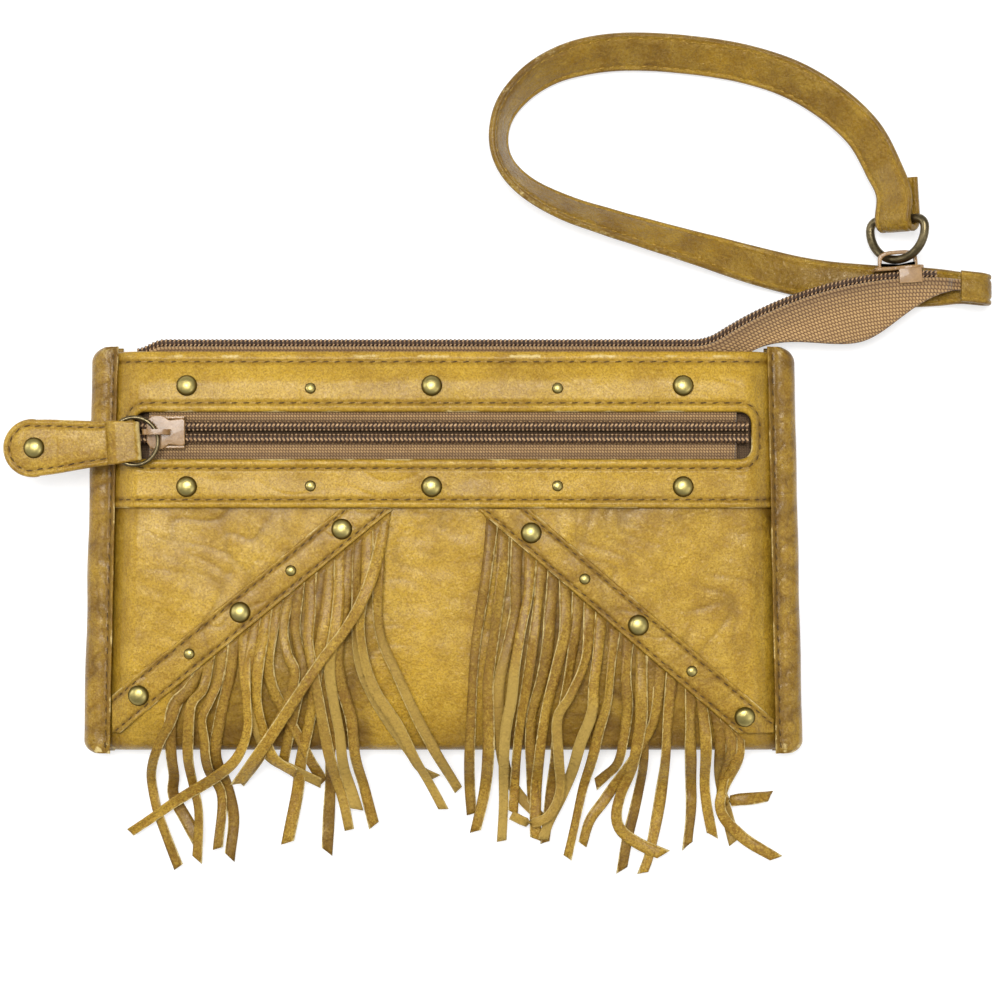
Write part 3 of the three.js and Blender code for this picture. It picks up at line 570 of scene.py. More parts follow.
def bump(shader, height, distance):
    inputs = {"Height": height, "Distance": distance, "Strength": 1.0}
    set_inputs(shader, {"Normal": add_node(shader.id_data, "ShaderNodeBump", inputs).outputs["Normal"]})


def mark_value(tree, name):
    return add_node(tree, "ShaderNodeAttribute", attribute_name=name).outputs["Fac"]


def leather_material(name, colour, pale, dark, roughness=0.42, clouds=0.6, dapples=0.5, grain=0.00016):
    """Glossy worn leather; its pieces mark where it is rubbed or carries a painted highlight, where dirt and
    painted shade darken it, and where it shows its matt back.
    """
    material, tree, shader, place = new_material(name)
    tones = {"Colour": colour, "Pale": pale, "Dark": dark, "Clouds": clouds, "Dapples": dapples}
    skin = mottled(tree, {"Place": place, **tones})
    wear_and_shade = rubbed_dirty_shaded(
        tree,
        {
            "Place": place,
            "Colour": skin["Colour"],
            "Rubbed": linear(222, 198, 132),
            # Colour of the darkening: partly real dirt, partly painted shade.
            "Dirt and Shade": linear(96, 64, 14),
            "Wear": mark_value(tree, "wear"),
            "Shade": mark_value(tree, "shade"),
        },
    )
    raw_back = mark_value(tree, "raw_back")
    dull = plus(plus(times(wear_and_shade["Bareness"], 0.3), roughness), times(skin["Gloss"], -0.09))
    set_inputs(
        shader,
        {
            "Base Color": blend_colours(times(raw_back, 0.85), wear_and_shade["Colour"], linear(178, 148, 76)),
            "Roughness": plus(dull, times(raw_back, 0.32)),
            "Specular IOR Level": 0.42,
            "Specular Tint": (1, 0.9, 0.66, 1),
            "Coat Roughness": 0.22,
            "Coat Weight": times(calc("SUBTRACT", 1.0, raw_back), 0.16),
        },
    )
    bump(shader, skin["Height"], grain)
    return material


def tape_material(name, colour, thread, gap, pitch):
    """Woven tape, with painted shade where its piece marks a shade."""
    material, tree, shader, _ = new_material(name)
    own_map = add_node(tree, "ShaderNodeUVMap", uv_map="weave_mm").outputs["UV"]
    weave = woven(tree, {"Place": own_map, "Colour": colour, "Thread": thread, "Shaded Gap": gap, "Pitch": pitch})
    stains_and_shade = {"Dirt and Shade": linear(74, 50, 34), "Shade": mark_value(tree, "shade")}
    wear_and_shade = rubbed_dirty_shaded(tree, {"Place": own_map, "Colour": weave["Colour"], **stains_and_shade})
    sheen = {"Sheen Weight": 0.25, "Sheen Roughness": 0.5}
    set_inputs(shader, {"Base Color": wear_and_shade["Colour"], "Roughness": 0.78, **sheen})
    bump(shader, weave["Height"], 0.00022)
    return material


def cloth_material(name, colour, thread, gap):
    """Plain woven lining, on object coordinates."""
    material, tree, shader, place = new_material(name)
    in_mm = {0: place, "Scale": 1000.0}
    sized = add_node(tree, "ShaderNodeVectorMath", in_mm, operation="SCALE").outputs[0]
    weave = woven(tree, {"Place": sized, "Colour": colour, "Thread": thread, "Shaded Gap": gap, "Pitch": 0.45})
    set_inputs(shader, {"Base Color": weave["Colour"], "Roughness": 0.85})
    bump(shader, weave["Height"], 0.0001)
    return material


def metal_material(name, bright, aged, age):
    material, tree, shader, place = new_material(name)
    tones = {"Bright": bright, "Aged": aged, "Age": age, "Shade": mark_value(tree, "shade")}
    patina = placed_group(tree, patina_group, "Aged metal", {"Place": place, **tones})
    set_inputs(shader, {"Base Color": patina["Colour"], "Roughness": patina["Roughness"], "Metallic": 1.0})
    bump(shader, patina["Height"], 0.00002)
    return material


def enamel_material(name, colour, pale, dark):
    """Satin paint on a cast slider, chipped a little where it is rubbed."""
    material, tree, shader, place = new_material(name)
    tones = {"Colour": colour, "Pale": pale, "Dark": dark, "Clouds": 0.5, "Dapples": 0.35}
    skin = mottled(tree, {"Place": place, **tones, "Grain Size": 0.7})
    set_inputs(shader, {"Base Color": skin["Colour"], "Roughness": 0.34, "Coat Weight": 0.25})
    bump(shader, skin["Height"], 0.00004)
    return material


def plain_material(name, colour, varied, roughness, relief=0.00004, scale=900.0):
    """Nylon or thread: one colour with small uneven tones."""
    material, _, shader, place = new_material(name)
    uneven = ramp_value(noise(place, scale, 3, 0.6), 0.35, 0.7)
    set_inputs(shader, {"Base Color": blend_colours(uneven, colour, varied), "Roughness": roughness})
    bump(shader, uneven, relief)
    return material


# Each finish has its material's name, its maker, its colours and its other values
THREAD_GRAIN = (0.00006, 1800.0)
FRINGE_VALUES = (0.5, 0.8, 0.7, 0.0002)
STRAP_VALUES = (0.36, 0.9, 0.45, 0.0002)
FINISHES = {
    "leather": ("mustard_leather", leather_material, ("leather", "leather_pale", "leather_dark"), ()),
    "trim": ("worn_trim", leather_material, ("trim", "leather_pale", "leather_dark"), (0.4, 0.7, 0.55)),
    "fringe": ("worn_fringe", leather_material, ("fringe", "leather_pale", "leather_dark"), FRINGE_VALUES),
    "strap": ("worn_strap", leather_material, ("strap", "leather_pale", "strap_dark"), STRAP_VALUES),
    # Tape and lining: the thread colour holds a painted highlight on raised threads, the last colour is
    # painted shade in the gaps.
    "tape": ("woven_tape", tape_material, ("tape", "lit_tape_thread", (84, 58, 34)), (0.78,)),
    "tail_tape": ("coarse_tape", tape_material, ("tape", "lit_tape_thread", (106, 74, 46)), (0.95,)),
    "lining": ("lining_cloth", cloth_material, ((96, 74, 52), (122, 96, 68), (52, 38, 26)), ()),
    "coil": ("coil_nylon", plain_material, ("coil", (74, 52, 32)), (0.38,)),
    "core": ("coil_core", plain_material, ((66, 44, 28), (48, 32, 20)), (0.7,)),
    "coil_thread": ("coil_thread", plain_material, ((204, 168, 124), (160, 124, 86)), (0.7, *THREAD_GRAIN)),
    "thread": ("sewing_thread", plain_material, ("thread", (104, 76, 26)), (0.7, *THREAD_GRAIN)),
    "pale_thread": ("strap_thread", plain_material, ((186, 148, 56), (142, 104, 30)), (0.65, *THREAD_GRAIN)),
    "brass": ("antique_brass", metal_material, ("brass", (92, 78, 30)), (0.35,)),
    "bronze": ("dark_bronze", metal_material, ((118, 106, 78), (48, 42, 28)), (0.6,)),
    "enamel": ("painted_slider", enamel_material, ("enamel", (186, 148, 98), (112, 76, 42)), ()),
}


def own_material(kind):
    """The finish of one kind of piece; colours given by name come from the panel."""
    name, make, colours, values = FINISHES[kind]
    chosen = bpy.context.scene.pouch_colours
    if name in bpy.data.materials:
        return bpy.data.materials[name]
    tones = [(*getattr(chosen, tone), 1) if isinstance(tone, str) else linear(*tone) for tone in colours]
    return make(name, *tones, *values)


# Trees that repeat a small shape along a path

def new_tree(name, sockets):
    """An empty geometry tree with named inputs, what it is given, and its end."""
    tree = bpy.data.node_groups.new(name, "GeometryNodeTree")
    for socket, kind in {"Geometry": "Geometry", **sockets, "Material": "Material"}.items():
        tree.interface.new_socket(socket, in_out="INPUT", socket_type="NodeSocket" + kind)
    tree.interface.new_socket("Geometry", in_out="OUTPUT", socket_type="NodeSocketGeometry")
    return tree, tree.nodes.new("NodeGroupInput").outputs, tree.nodes.new("NodeGroupOutput")


def spaced_points(tree, given):
    """The path as a curve, with points one pitch apart."""
    curve = add_node(tree, "GeometryNodeMeshToCurve", {"Mesh": given["Geometry"]}).outputs[0]
    spacing = {"Curve": curve, "Length": given["Pitch"]}
    return add_node(tree, "GeometryNodeResampleCurve", spacing, mode="LENGTH").outputs[0]


def along_path(tree):
    """Turns a shape's own Z along the path."""
    tangent = add_node(tree, "GeometryNodeInputTangent").outputs[0]
    return add_node(tree, "FunctionNodeAlignRotationToVector", {"Vector": tangent}, axis="Z").outputs[0]


def end_tree(tree, given, end, repeated):
    """Repeats a shape on points, makes it real and gives it its material."""
    node = add_node(tree, "GeometryNodeInstanceOnPoints", repeated)
    node = add_node(tree, "GeometryNodeRealizeInstances", {0: node.outputs[0]})
    painting = {"Geometry": node.outputs[0], "Material": given["Material"]}
    node = add_node(tree, "GeometryNodeSetMaterial", painting)
    node = add_node(tree, "GeometryNodeSetShadeSmooth", {"Geometry": node.outputs[0]})
    set_inputs(end, {"Geometry": node.outputs[0]})
    return tree


def stitch_tree(name):
    """Small plump stitches that lie along a path, each turned a little at random."""
    sockets = dict.fromkeys(("Pitch", "Length", "Thickness", "Slant"), "Float")
    tree, given, end = new_tree(name, sockets)
    points = spaced_points(tree, given)
    bead = add_node(tree, "GeometryNodeMeshUVSphere", {"Segments": 6, "Rings": 5, "Radius": 0.5})
    facing = along_path(tree)
    lean = {2: plus(given["Slant"], -0.08), 3: plus(given["Slant"], 0.08), "Seed": 7}
    slant = add_node(tree, "FunctionNodeRandomValue", lean, data_type="FLOAT").outputs[1]
    about = add_node(tree, "ShaderNodeCombineXYZ", {2: slant}).outputs[0]
    rotation = add_node(tree, "FunctionNodeEulerToRotation", {0: about}).outputs[0]
    turned = {0: facing, 1: rotation}
    turn = add_node(tree, "FunctionNodeRotateRotation", turned, rotation_space="GLOBAL").outputs[0]
    sizes = {0: given["Thickness"], 1: given["Thickness"], 2: given["Length"]}
    size = add_node(tree, "ShaderNodeCombineXYZ", sizes).outputs[0]
    shape = {"Points": points, "Instance": bead.outputs["Mesh"], "Scale": size, "Rotation": turn}
    return end_tree(tree, given, end, shape)


def coil_tree(name):
    """Turns of a nylon coil: flattened loops that stand across a path, out along its mark."""
    sockets = dict.fromkeys(("Pitch", "Width", "Height", "Wire"), "Float")
    tree, given, end = new_tree(name, sockets)
    points = spaced_points(tree, given)
    loop = add_node(tree, "GeometryNodeCurvePrimitiveCircle", {"Resolution": 10, "Radius": 0.5}).outputs[0]
    sizes = {0: given["Width"], 1: given["Height"], 2: 1.0}
    flattened = add_node(tree, "ShaderNodeCombineXYZ", sizes).outputs[0]
    shaped = add_node(tree, "GeometryNodeTransform", {"Geometry": loop, "Scale": flattened}).outputs[0]
    wire = add_node(tree, "GeometryNodeCurvePrimitiveCircle", {"Resolution": 5, "Radius": given["Wire"]})
    profile = {"Curve": shaped, "Profile Curve": wire.outputs[0]}
    turn_mesh = add_node(tree, "GeometryNodeCurveToMesh", profile).outputs[0]
    mark = add_node(tree, "GeometryNodeInputNamedAttribute", {"Name": "across"}, data_type="FLOAT_VECTOR")
    rolling = {"Rotation": along_path(tree), "Vector": mark.outputs["Attribute"]}
    rolled = add_node(tree, "FunctionNodeAlignRotationToVector", rolling, axis="X", pivot_axis="Z").outputs[0]
    return end_tree(tree, given, end, {"Points": points, "Instance": turn_mesh, "Rotation": rolled})


def stud_tree(name):
    """One lathe-turned stud on each point, stood along the point's mark."""
    tree, given, end = new_tree(name, {"Stud": "Object"})
    stud = add_node(tree, "GeometryNodeObjectInfo", {"Object": given["Stud"]}).outputs["Geometry"]
    mark = add_node(tree, "GeometryNodeInputNamedAttribute", {"Name": "stands"}, data_type="FLOAT_VECTOR")
    standing = {"Vector": mark.outputs["Attribute"]}
    upright = add_node(tree, "FunctionNodeAlignRotationToVector", standing, axis="Z").outputs[0]
    return end_tree(tree, given, end, {"Points": given["Geometry"], "Instance": stud, "Rotation": upright})


def evaluated_mesh(source):
    bpy.context.view_layer.update()
    mesh = bpy.data.meshes.new_from_object(source.evaluated_get(bpy.context.evaluated_depsgraph_get()))
    bpy.data.objects.remove(source)
    return mesh


def grown(name, source, tree, kind, values):
    """The plain mesh that a tree makes from a source object, which is then removed."""
    modifier = source.modifiers.new("Repeat", "NODES")
    modifier.node_group = tree
    values = {**values, "Material": own_material(kind)}
    for item in tree.interface.items_tree:
        if item.item_type == "SOCKET" and item.in_out == "INPUT" and item.name in values:
            modifier[item.identifier] = values[item.name]
    source.update_tag()
    mesh = evaluated_mesh(source)
    if not mesh.polygons:
        raise RuntimeError(f"{name} came out empty")
    mesh.name = name
    return new_object(name, mesh)


def path_object(name, points, edges, marks=None, mark=None):
    """Bare points and edges in millimetres, with a direction for each point where marks are given."""
    mesh = bpy.data.meshes.new(name)
    mesh.from_pydata([tuple(np.asarray(p, float) * MM) for p in points], edges, [])
    if marks is not None:
        directions = mesh.attributes.new(mark, "FLOAT_VECTOR", "POINT")
        directions.data.foreach_set("vector", np.asarray(marks, np.float32).ravel())
    return new_object(name, mesh)


def path_edges(paths):
    """Edges from each point to the next, for paths whose points follow one another."""
    edges = []
    first = 0
    for path in paths:
        edges += [(i, i + 1) for i in range(first, first + len(path) - 1)]
        first += len(path)
    return edges


def sewn(name, paths, kind="thread", length=1.75, thickness=0.42, pitch=None, slant=0.12):
    """Rows of stitches along paths on a surface."""
    source = path_object(name + "_path", np.concatenate(paths), path_edges(paths))
    values = {
        "Pitch": pitch or bpy.context.scene.pouch_sizes.stitch_pitch,
        "Length": length * MM,
        "Thickness": thickness * MM,
        "Slant": float(slant),
    }
    return grown(name, source, shared_tree(stitch_tree, "Stitches along a path"), kind, values)


# The front leather and what lies on it

def surface(x, y):
    """The filled front with its slow unevenness, shared by all that lies on it."""
    return front(x, y) + 0.26 * lumps(x, y, 38, 3) * smooth((BODY_TOP - 2 - y) / 12)


def beside_binding(x, y, reach):
    """Shade that gathers along the edge bindings."""
    side = half_width(y) - BINDING_WIDTH - np.abs(x)
    return 0.5 * np.exp(-np.clip(side, 0, 60) / reach)


def under_strands(x, y):
    """Where the fringe lies on the leather, from 0 to 1."""
    covered = 0 * x + 0 * y
    for (x0, y0), (x1, y1) in (LEFT_TRIM, RIGHT_TRIM):
        side = math.copysign(1, x1)
        on_band = y0 + (x - x0) * (y1 - y0) / (x1 - x0)
        below = smooth((on_band - 3 - y) / 3)
        inner = smooth((side * (x - x0) + 10) / 5)
        outer = smooth((side * (x1 - x) - 6) / 5)
        covered = np.maximum(covered, below * inner * outer)
    return covered


class POUCH_OT_body(bpy.types.Operator):
    """Front and back leather in one folded piece, with the creases of use"""

    bl_idname = "pouch.body"
    bl_label = "Pouch body"

    def execute(self, context):
        back_end, fold_end = 0.2, 0.45
        legs = ((0, back_end, 24), (back_end, fold_end, 18), (fold_end, 1, 124))
        rows = np.concatenate([[0], *(np.linspace(*leg)[1:] for leg in legs)])
        share = rows[:, None]
        fold_y = BODY_BOTTOM + FOLD_REACH
        back_y = mix(BODY_TOP - 1, fold_y, np.clip(share / back_end, 0, 1))
        front_y = mix(fold_y, FRAME_BOTTOM + FRAME_LAP, np.clip((share - fold_end) / (1 - fold_end), 0, 1))
        angle = math.pi * np.clip((share - back_end) / (fold_end - back_end), 0, 1)
        level = np.where(share <= back_end, back_y, front_y)
        x = crowded(190)[None, :] * panel_half_width(level)
        furrows = creases(x, front_y, 13, 21) * (0.35 + 0.65 * patchy(x, front_y, 45, 9))
        own = 0.14 * furrows + 0.08 * lumps(x, front_y, 8, 5)

        def face(below, raised):
            low = back(x, level) + below
            high = surface(x, front_y) - below + raised
            on_fold = (low + high) / 2 - np.cos(angle) * (high - low) / 2
            z = np.where(share <= back_end, low, np.where(share < fold_end, on_fold, high))
            y = level - (FOLD_REACH - below) * np.sin(angle)
            return np.stack([x, y + 0 * x, z + 0 * x], axis=2)

        outer = face(0, own)
        y = outer[:, :, 1]
        is_front = share > 0.3
        shade = 0.55 * np.exp(-np.abs(FRAME_BOTTOM - front_y) / 2.2) * is_front
        shade = shade + beside_binding(x, y, 3.0) + 0.4 * -furrows * is_front
        shade = shade + 0.4 * smooth((-40 - y) / 13) + 0.6 * under_strands(x, front_y) * is_front
        wear = 0.5 * patchy(x, y, 16, 12) * smooth((-51.5 - y) / 1.5)
        marks = {"shade": np.clip(shade, 0, 0.9), "wear": wear}
        piece = sheet_piece("body_leather", outer, face(LEATHER, 0), "leather", marks)
        finish_piece(piece, "bag", "leather", "body_panel")
        return {"FINISHED"}


TOP_SEAM = 2.75
LOW_SEAM = 2.2
WINDOW_SEAM = 2.4


def frame_edges(x, y):
    """Distances to the window, the low edge and the top edge, each with its seam's distance."""
    return (window_distance(x, y), WINDOW_SEAM), (y - FRAME_BOTTOM, LOW_SEAM), (BODY_TOP - y, TOP_SEAM)


def frame_face(x, y):
    """Height of the frame panel's outer face, with its welts, seams and puckers."""
    z = surface(x, y) + CLEARANCE + LEATHER
    edges = frame_edges(x, y)
    for distance, seam in edges:
        share = np.clip(distance / seam, 0, 1)
        pucker = np.sin(2 * math.pi * (x + y) / 3.05) * furrow(distance - seam, 1.3)
        z = z + 0.26 * np.sin(math.pi * share) - 0.34 * furrow(distance - seam, 0.42) + 0.05 * pucker
    z = z + 0.07 * lumps(x, y, 9, 41) + 0.1 * creases(x, y, 12, 43) * patchy(x, y, 30, 44)
    (in_window, _), (above, _), (under, _) = edges
    return z - rim_drop(np.minimum(np.minimum(in_window, above), under), 0.6)


def window_corners():
    """The middles of the window's four round corners and the angle where each starts."""
    left, right, low, high = WINDOW
    near, far = left + WINDOW_ROUND, right - WINDOW_ROUND
    bottom, top = low + WINDOW_ROUND, high - WINDOW_ROUND
    return (far, bottom, -90), (far, top, 0), (near, top, 90), (near, bottom, 180)


def on_corner(corner, radius, share):
    angle = math.radians(corner[2] + 90 * share)
    return corner[0] + radius * math.cos(angle), corner[1] + radius * math.sin(angle)


def frame_outline():
    """Matching points round the window and round the panel, anticlockwise."""
    wide, narrow = panel_half_width(FRAME_BOTTOM), panel_half_width(BODY_TOP)
    cut = 6
    outside = (
        ((wide - cut, FRAME_BOTTOM), (wide, FRAME_BOTTOM), (wide, FRAME_BOTTOM + cut)),
        ((narrow, BODY_TOP - cut), (narrow, BODY_TOP), (narrow - cut, BODY_TOP)),
        ((-narrow + cut, BODY_TOP), (-narrow, BODY_TOP), (-narrow, BODY_TOP - cut)),
        ((-wide, FRAME_BOTTOM + cut), (-wide, FRAME_BOTTOM), (-wide + cut, FRAME_BOTTOM)),
    )
    corners = window_corners()
    inner = []
    outer = []
    for i in range(4):
        before, corner = corners[i - 1], corners[i]
        start, point, end = (np.array(place) for place in outside[i])
        run_from = np.array(on_corner(before, WINDOW_ROUND, 1))
        run_to = np.array(on_corner(corner, WINDOW_ROUND, 0))
        for t in np.linspace(0, 1, 10 if i % 2 else 230, endpoint=False):
            inner.append(mix(run_from, run_to, t))
            outer.append(mix(np.array(outside[i - 1][2]), start, t))
        for t in np.arange(14) / 14:
            inner.append(np.array(on_corner(corner, WINDOW_ROUND, t)))
            outer.append(mix(start, point, t * 2) if t < 0.5 else mix(point, end, t * 2 - 1))
    return np.array(inner), np.array(outer)


def window_path(offset):
    """Points round the window at a distance outside it."""
    corners = window_corners()
    points = [on_corner(corner, WINDOW_ROUND + offset, k / 8) for corner in corners for k in range(9)]
    return resampled(np.array([*points, points[0]]), 2, pitch=1.0)[0]


def on_frame(points):
    """Flat points lifted a little over the frame panel's face."""
    return np.column_stack([points, frame_face(points[:, 0], points[:, 1]) + 0.1])


class POUCH_OT_frame_panel(bpy.types.Operator):
    """Sewn leather panel round the front pocket's zip, with its stitches"""

    bl_idname = "pouch.frame_panel"
    bl_label = "Pocket panel"

    def execute(self, context):
        inner, outer = frame_outline()
        lin = np.linspace(0, 1, 46)
        share = mix(lin, (1 - np.cos(math.pi * lin)) / 2, 0.6)[:, None, None]
        flat = inner[None] * (1 - share) + outer[None] * share
        x, y = flat[:, :, 0], flat[:, :, 1]
        layers = [np.dstack([x, y, z]).reshape(-1, 3) for z in (frame_face(x, y), surface(x, y) + CLEARANCE)]
        rows, count = x.shape
        size = rows * count
        last = size - count
        faces = []
        for c in range(count):
            n = (c + 1) % count
            for here in range(0, last, count):
                quad = (here + c, here + n, here + count + n, here + count + c)
                faces += [quad, tuple(size + i for i in quad[::-1])]
            faces.append((n, c, size + c, size + n))
            faces.append((last + c, last + n, size + last + n, size + last + c))
        piece = new_piece("frame_leather", np.concatenate(layers), faces, "leather")
        edges = frame_edges(x, y)
        (in_window, _), (low_edge, _), (top_edge, _) = edges
        wear = 0.8 * np.exp(-np.clip(in_window, 0, 50) / 0.55) * patchy(x, y, 18, 51)
        wear = np.maximum(wear, 0.7 * np.exp(-low_edge / 0.6) * patchy(x, y, 14, 52))
        # Along the top fold the pale marks are partly rubbed wear and partly a painted highlight.
        wear = np.maximum(wear, 0.62 * np.exp(-np.abs(top_edge - 1.3) / 0.9) * patchy(x, y, 12, 53))
        shade = sum(0.5 * furrow(distance - seam, 0.75) for distance, seam in edges)
        shade = shade + beside_binding(x, y, 2.0) + 0.3 * furrow(np.minimum(low_edge, in_window), 0.4)
        set_mark(piece, "wear", [wear, wear * 0])
        set_mark(piece, "shade", [np.clip(shade, 0, 0.9)] * 2)
        outward(piece)
        finish_piece(piece, "bag", "leather", "zip_frame_panel")
        span = np.arange(-84.5, 85, 1.0)
        top_line = np.column_stack([span[2:-2], np.full(len(span) - 4, BODY_TOP - TOP_SEAM)])
        low_line = np.column_stack([span, np.full(len(span), FRAME_BOTTOM + LOW_SEAM)])
        lines = [on_frame(line) for line in (top_line, low_line, window_path(WINDOW_SEAM))]
        finish_piece(sewn("frame_stitches", lines), "bag", "leather")
        return {"FINISHED"}


def round_off(beyond, radius):
    """How far a round corner has drawn in, at a height beyond its start."""
    return radius - np.sqrt(radius ** 2 - np.clip(beyond, 0, radius - 0.1) ** 2)


def binding_points(side, rows, columns, below):
    """Points of an edge binding, and how far each lies from the front leg's inner edge."""
    bottom, top = BODY_BOTTOM - 0.6, BODY_TOP + 1.4
    back_end, arc_end = 0.22, 0.62
    y = np.linspace(bottom, top, rows)[:, None]
    share = np.linspace(0, 1, columns)[None, :]
    outer = half_width(y) - round_off(y - (top - BINDING_TOP_ROUND), BINDING_TOP_ROUND)
    outer = outer - round_off(bottom + BINDING_LOW_ROUND - y, BINDING_LOW_ROUND)
    outer = outer + 0.22 * lumps(y, y * 0 + side * 40, 17, 61) + 0 * share
    inner = half_width(y) - BINDING_WIDTH
    middle = outer - BINDING_ROUND
    layer = mix(TRIM_THICKNESS, LEATHER, smooth((y - FRAME_BOTTOM + 4.5) / 3)) + 2 * CLEARANCE

    def high(x):
        return surface(side * x, np.clip(y, BODY_BOTTOM + 4, BODY_TOP)) + layer + 1 - below

    x_front = mix(middle, inner, np.clip((share - arc_end) / (1 - arc_end), 0, 1))
    x_back = mix(inner, middle, np.clip(share / back_end, 0, 1))
    angle = math.pi * np.clip((share - back_end) / (arc_end - back_end), 0, 1)
    x_arc = middle + (BINDING_ROUND - below) * np.sin(angle)
    z_arc = mix(below, high(middle), (1 - np.cos(angle)) / 2)
    x = np.where(share < back_end, x_back, np.where(share > arc_end, x_front, x_arc))
    z = np.where(share < back_end, below + 0 * x, np.where(share > arc_end, high(x_front), z_arc))
    from_edge = np.where(share > arc_end, x_front - inner, 9.0)
    if below == 0:
        uneven = 0.13 * creases(side * x, y, 8, 63 + side) + 0.1 * lumps(side * x, y, 6, 65 + side)
        from_seam = from_edge - BINDING_SEAM
        z = z + smooth((share - 0.3) / 0.25) * uneven
        z = z - 0.3 * furrow(from_seam, 0.42) + 0.2 * np.sin(math.pi * np.clip(from_seam / 4, 0, 1))
        z = z - rim_drop(from_edge, 0.5)
    return np.dstack([side * x, y + 0 * x, z]), from_edge


class POUCH_OT_bindings(bpy.types.Operator):
    """Leather strips folded over the two side edges, with their stitches"""

    bl_idname = "pouch.bindings"
    bl_label = "Edge bindings"

    def execute(self, context):
        rows, columns = 190, 60
        for side, name in ((-1, "left"), (1, "right")):
            outer, from_edge = binding_points(side, rows, columns, 0)
            under, _ = binding_points(side, rows, columns, 1)
            x, y = outer[:, :, 0], outer[:, :, 1]
            wear = 0.74 * smooth((-48 - y) / 6) * patchy(x, y, 3, 71 + side)
            wear = np.maximum(wear, 0.55 * furrow(from_edge, 0.6) * patchy(x, y, 15, 73))
            wear = np.maximum(wear, 0.4 * smooth((y - 47) / 4) * patchy(x, y, 4, 75))
            shade = 0.34 + 0.5 * furrow(from_edge - BINDING_SEAM, 0.9) - 0.35 * creases(x, y, 8, 63 + side)
            shade = shade + 0.3 * patchy(x, y, 12, 67 + side)
            marks = {"wear": wear, "shade": np.clip(shade, 0, 0.85)}
            piece = sheet_piece(f"{name}_binding", outer, under, "trim", marks)
            finish_piece(piece, "bag", "trim_leather", f"{name}_edge_binding")
            seam = np.argmin(np.abs(from_edge - BINDING_SEAM), axis=1)
            line = np.array([outer[r, seam[r]] for r in range(4, rows - 4, 2)]) + np.array([0, 0, 0.1])
            finish_piece(sewn(f"{name}_binding_stitches", [line]), "bag", "trim_leather")
        return {"FINISHED"}


def band_frame(band):
    """Unit directions along and across a trim band."""
    along = unit(np.array(band[1], float) - np.array(band[0], float))
    return along, np.array([-along[1], along[0]])


def band_line(band, offset, shares):
    """Points on the band at an offset, from the pocket panel to the binding or the bottom."""
    along, across = band_frame(band)
    start = np.array(band[0]) + across * offset
    first = start + along * ((FRAME_BOTTOM - CLEARANCE - start[1]) / along[1])
    side = math.copysign(1, band[1][0])
    reach = half_width(band[1][1]) - BINDING_WIDTH - CLEARANCE
    step = min((side * reach - start[0]) / along[0], (BODY_BOTTOM + 5 - start[1]) / along[1])
    return mix(first[None], (start + along * step)[None], shares[:, None])


def band_face(x, y, offset):
    """Height of a trim band's outer face."""
    edge = TRIM_WIDTH / 2 - np.abs(offset)
    z = surface(x, y) + CLEARANCE + TRIM_THICKNESS + over_shoulder(x)
    crown = np.sin(math.pi * np.clip((edge - BAND_SEAM) / 3.25, 0, 1) * 0.5)
    z = z - 0.3 * furrow(edge - BAND_SEAM, 0.4) + 0.16 * crown
    z = z + 0.05 * lumps(x, y, 7, 81) + 0.08 * creases(x, y, 10, 83)
    return z - rim_drop(edge, 0.45)


class POUCH_OT_trim_bands(bpy.types.Operator):
    """Slanting leather bands over the fringe, with a row of stitches along each side"""

    bl_idname = "pouch.trim_bands"
    bl_label = "Slanting bands"

    def execute(self, context):
        offsets = crowded(34, BAND_CROWDING) * TRIM_WIDTH / 2
        for name, band in (("left", LEFT_TRIM), ("right", RIGHT_TRIM)):
            flat = np.stack([band_line(band, offset, np.linspace(0, 1, 230)) for offset in offsets], axis=1)
            x, y = flat[:, :, 0], flat[:, :, 1]
            edge = TRIM_WIDTH / 2 - np.abs(offsets)[None, :] + 0 * x
            top = np.dstack([x, y, band_face(x, y, offsets[None, :])])
            under = np.dstack([x, y, surface(x, y) + CLEARANCE + over_shoulder(x)])
            wear = 0.62 * furrow(edge, 0.5) * patchy(x, y, 10, 85)
            shade = 0.12 + 0.5 * furrow(edge - BAND_SEAM, 0.7) - 0.3 * creases(x, y, 10, 83)
            marks = {"wear": wear, "shade": np.clip(shade, 0, 0.85)}
            piece = sheet_piece(f"{name}_band", top, under, "trim", marks)
            finish_piece(piece, "bag", "trim_leather", f"{name}_trim_band")
            lines = []
            for offset in (-TRIM_WIDTH / 2 + BAND_SEAM, TRIM_WIDTH / 2 - BAND_SEAM):
                path = band_line(band, offset, np.linspace(0.015, 0.985, 80))
                lines.append(np.column_stack([path, band_face(path[:, 0], path[:, 1], offset) + 0.1]))
            stitches = sewn(f"{name}_band_stitches", lines, "thread", 1.5, 0.38, 0.0027)
            finish_piece(stitches, "bag", "trim_leather")
        return {"FINISHED"}


# Fringe: each strand has stops from the band to its tip, as it lies

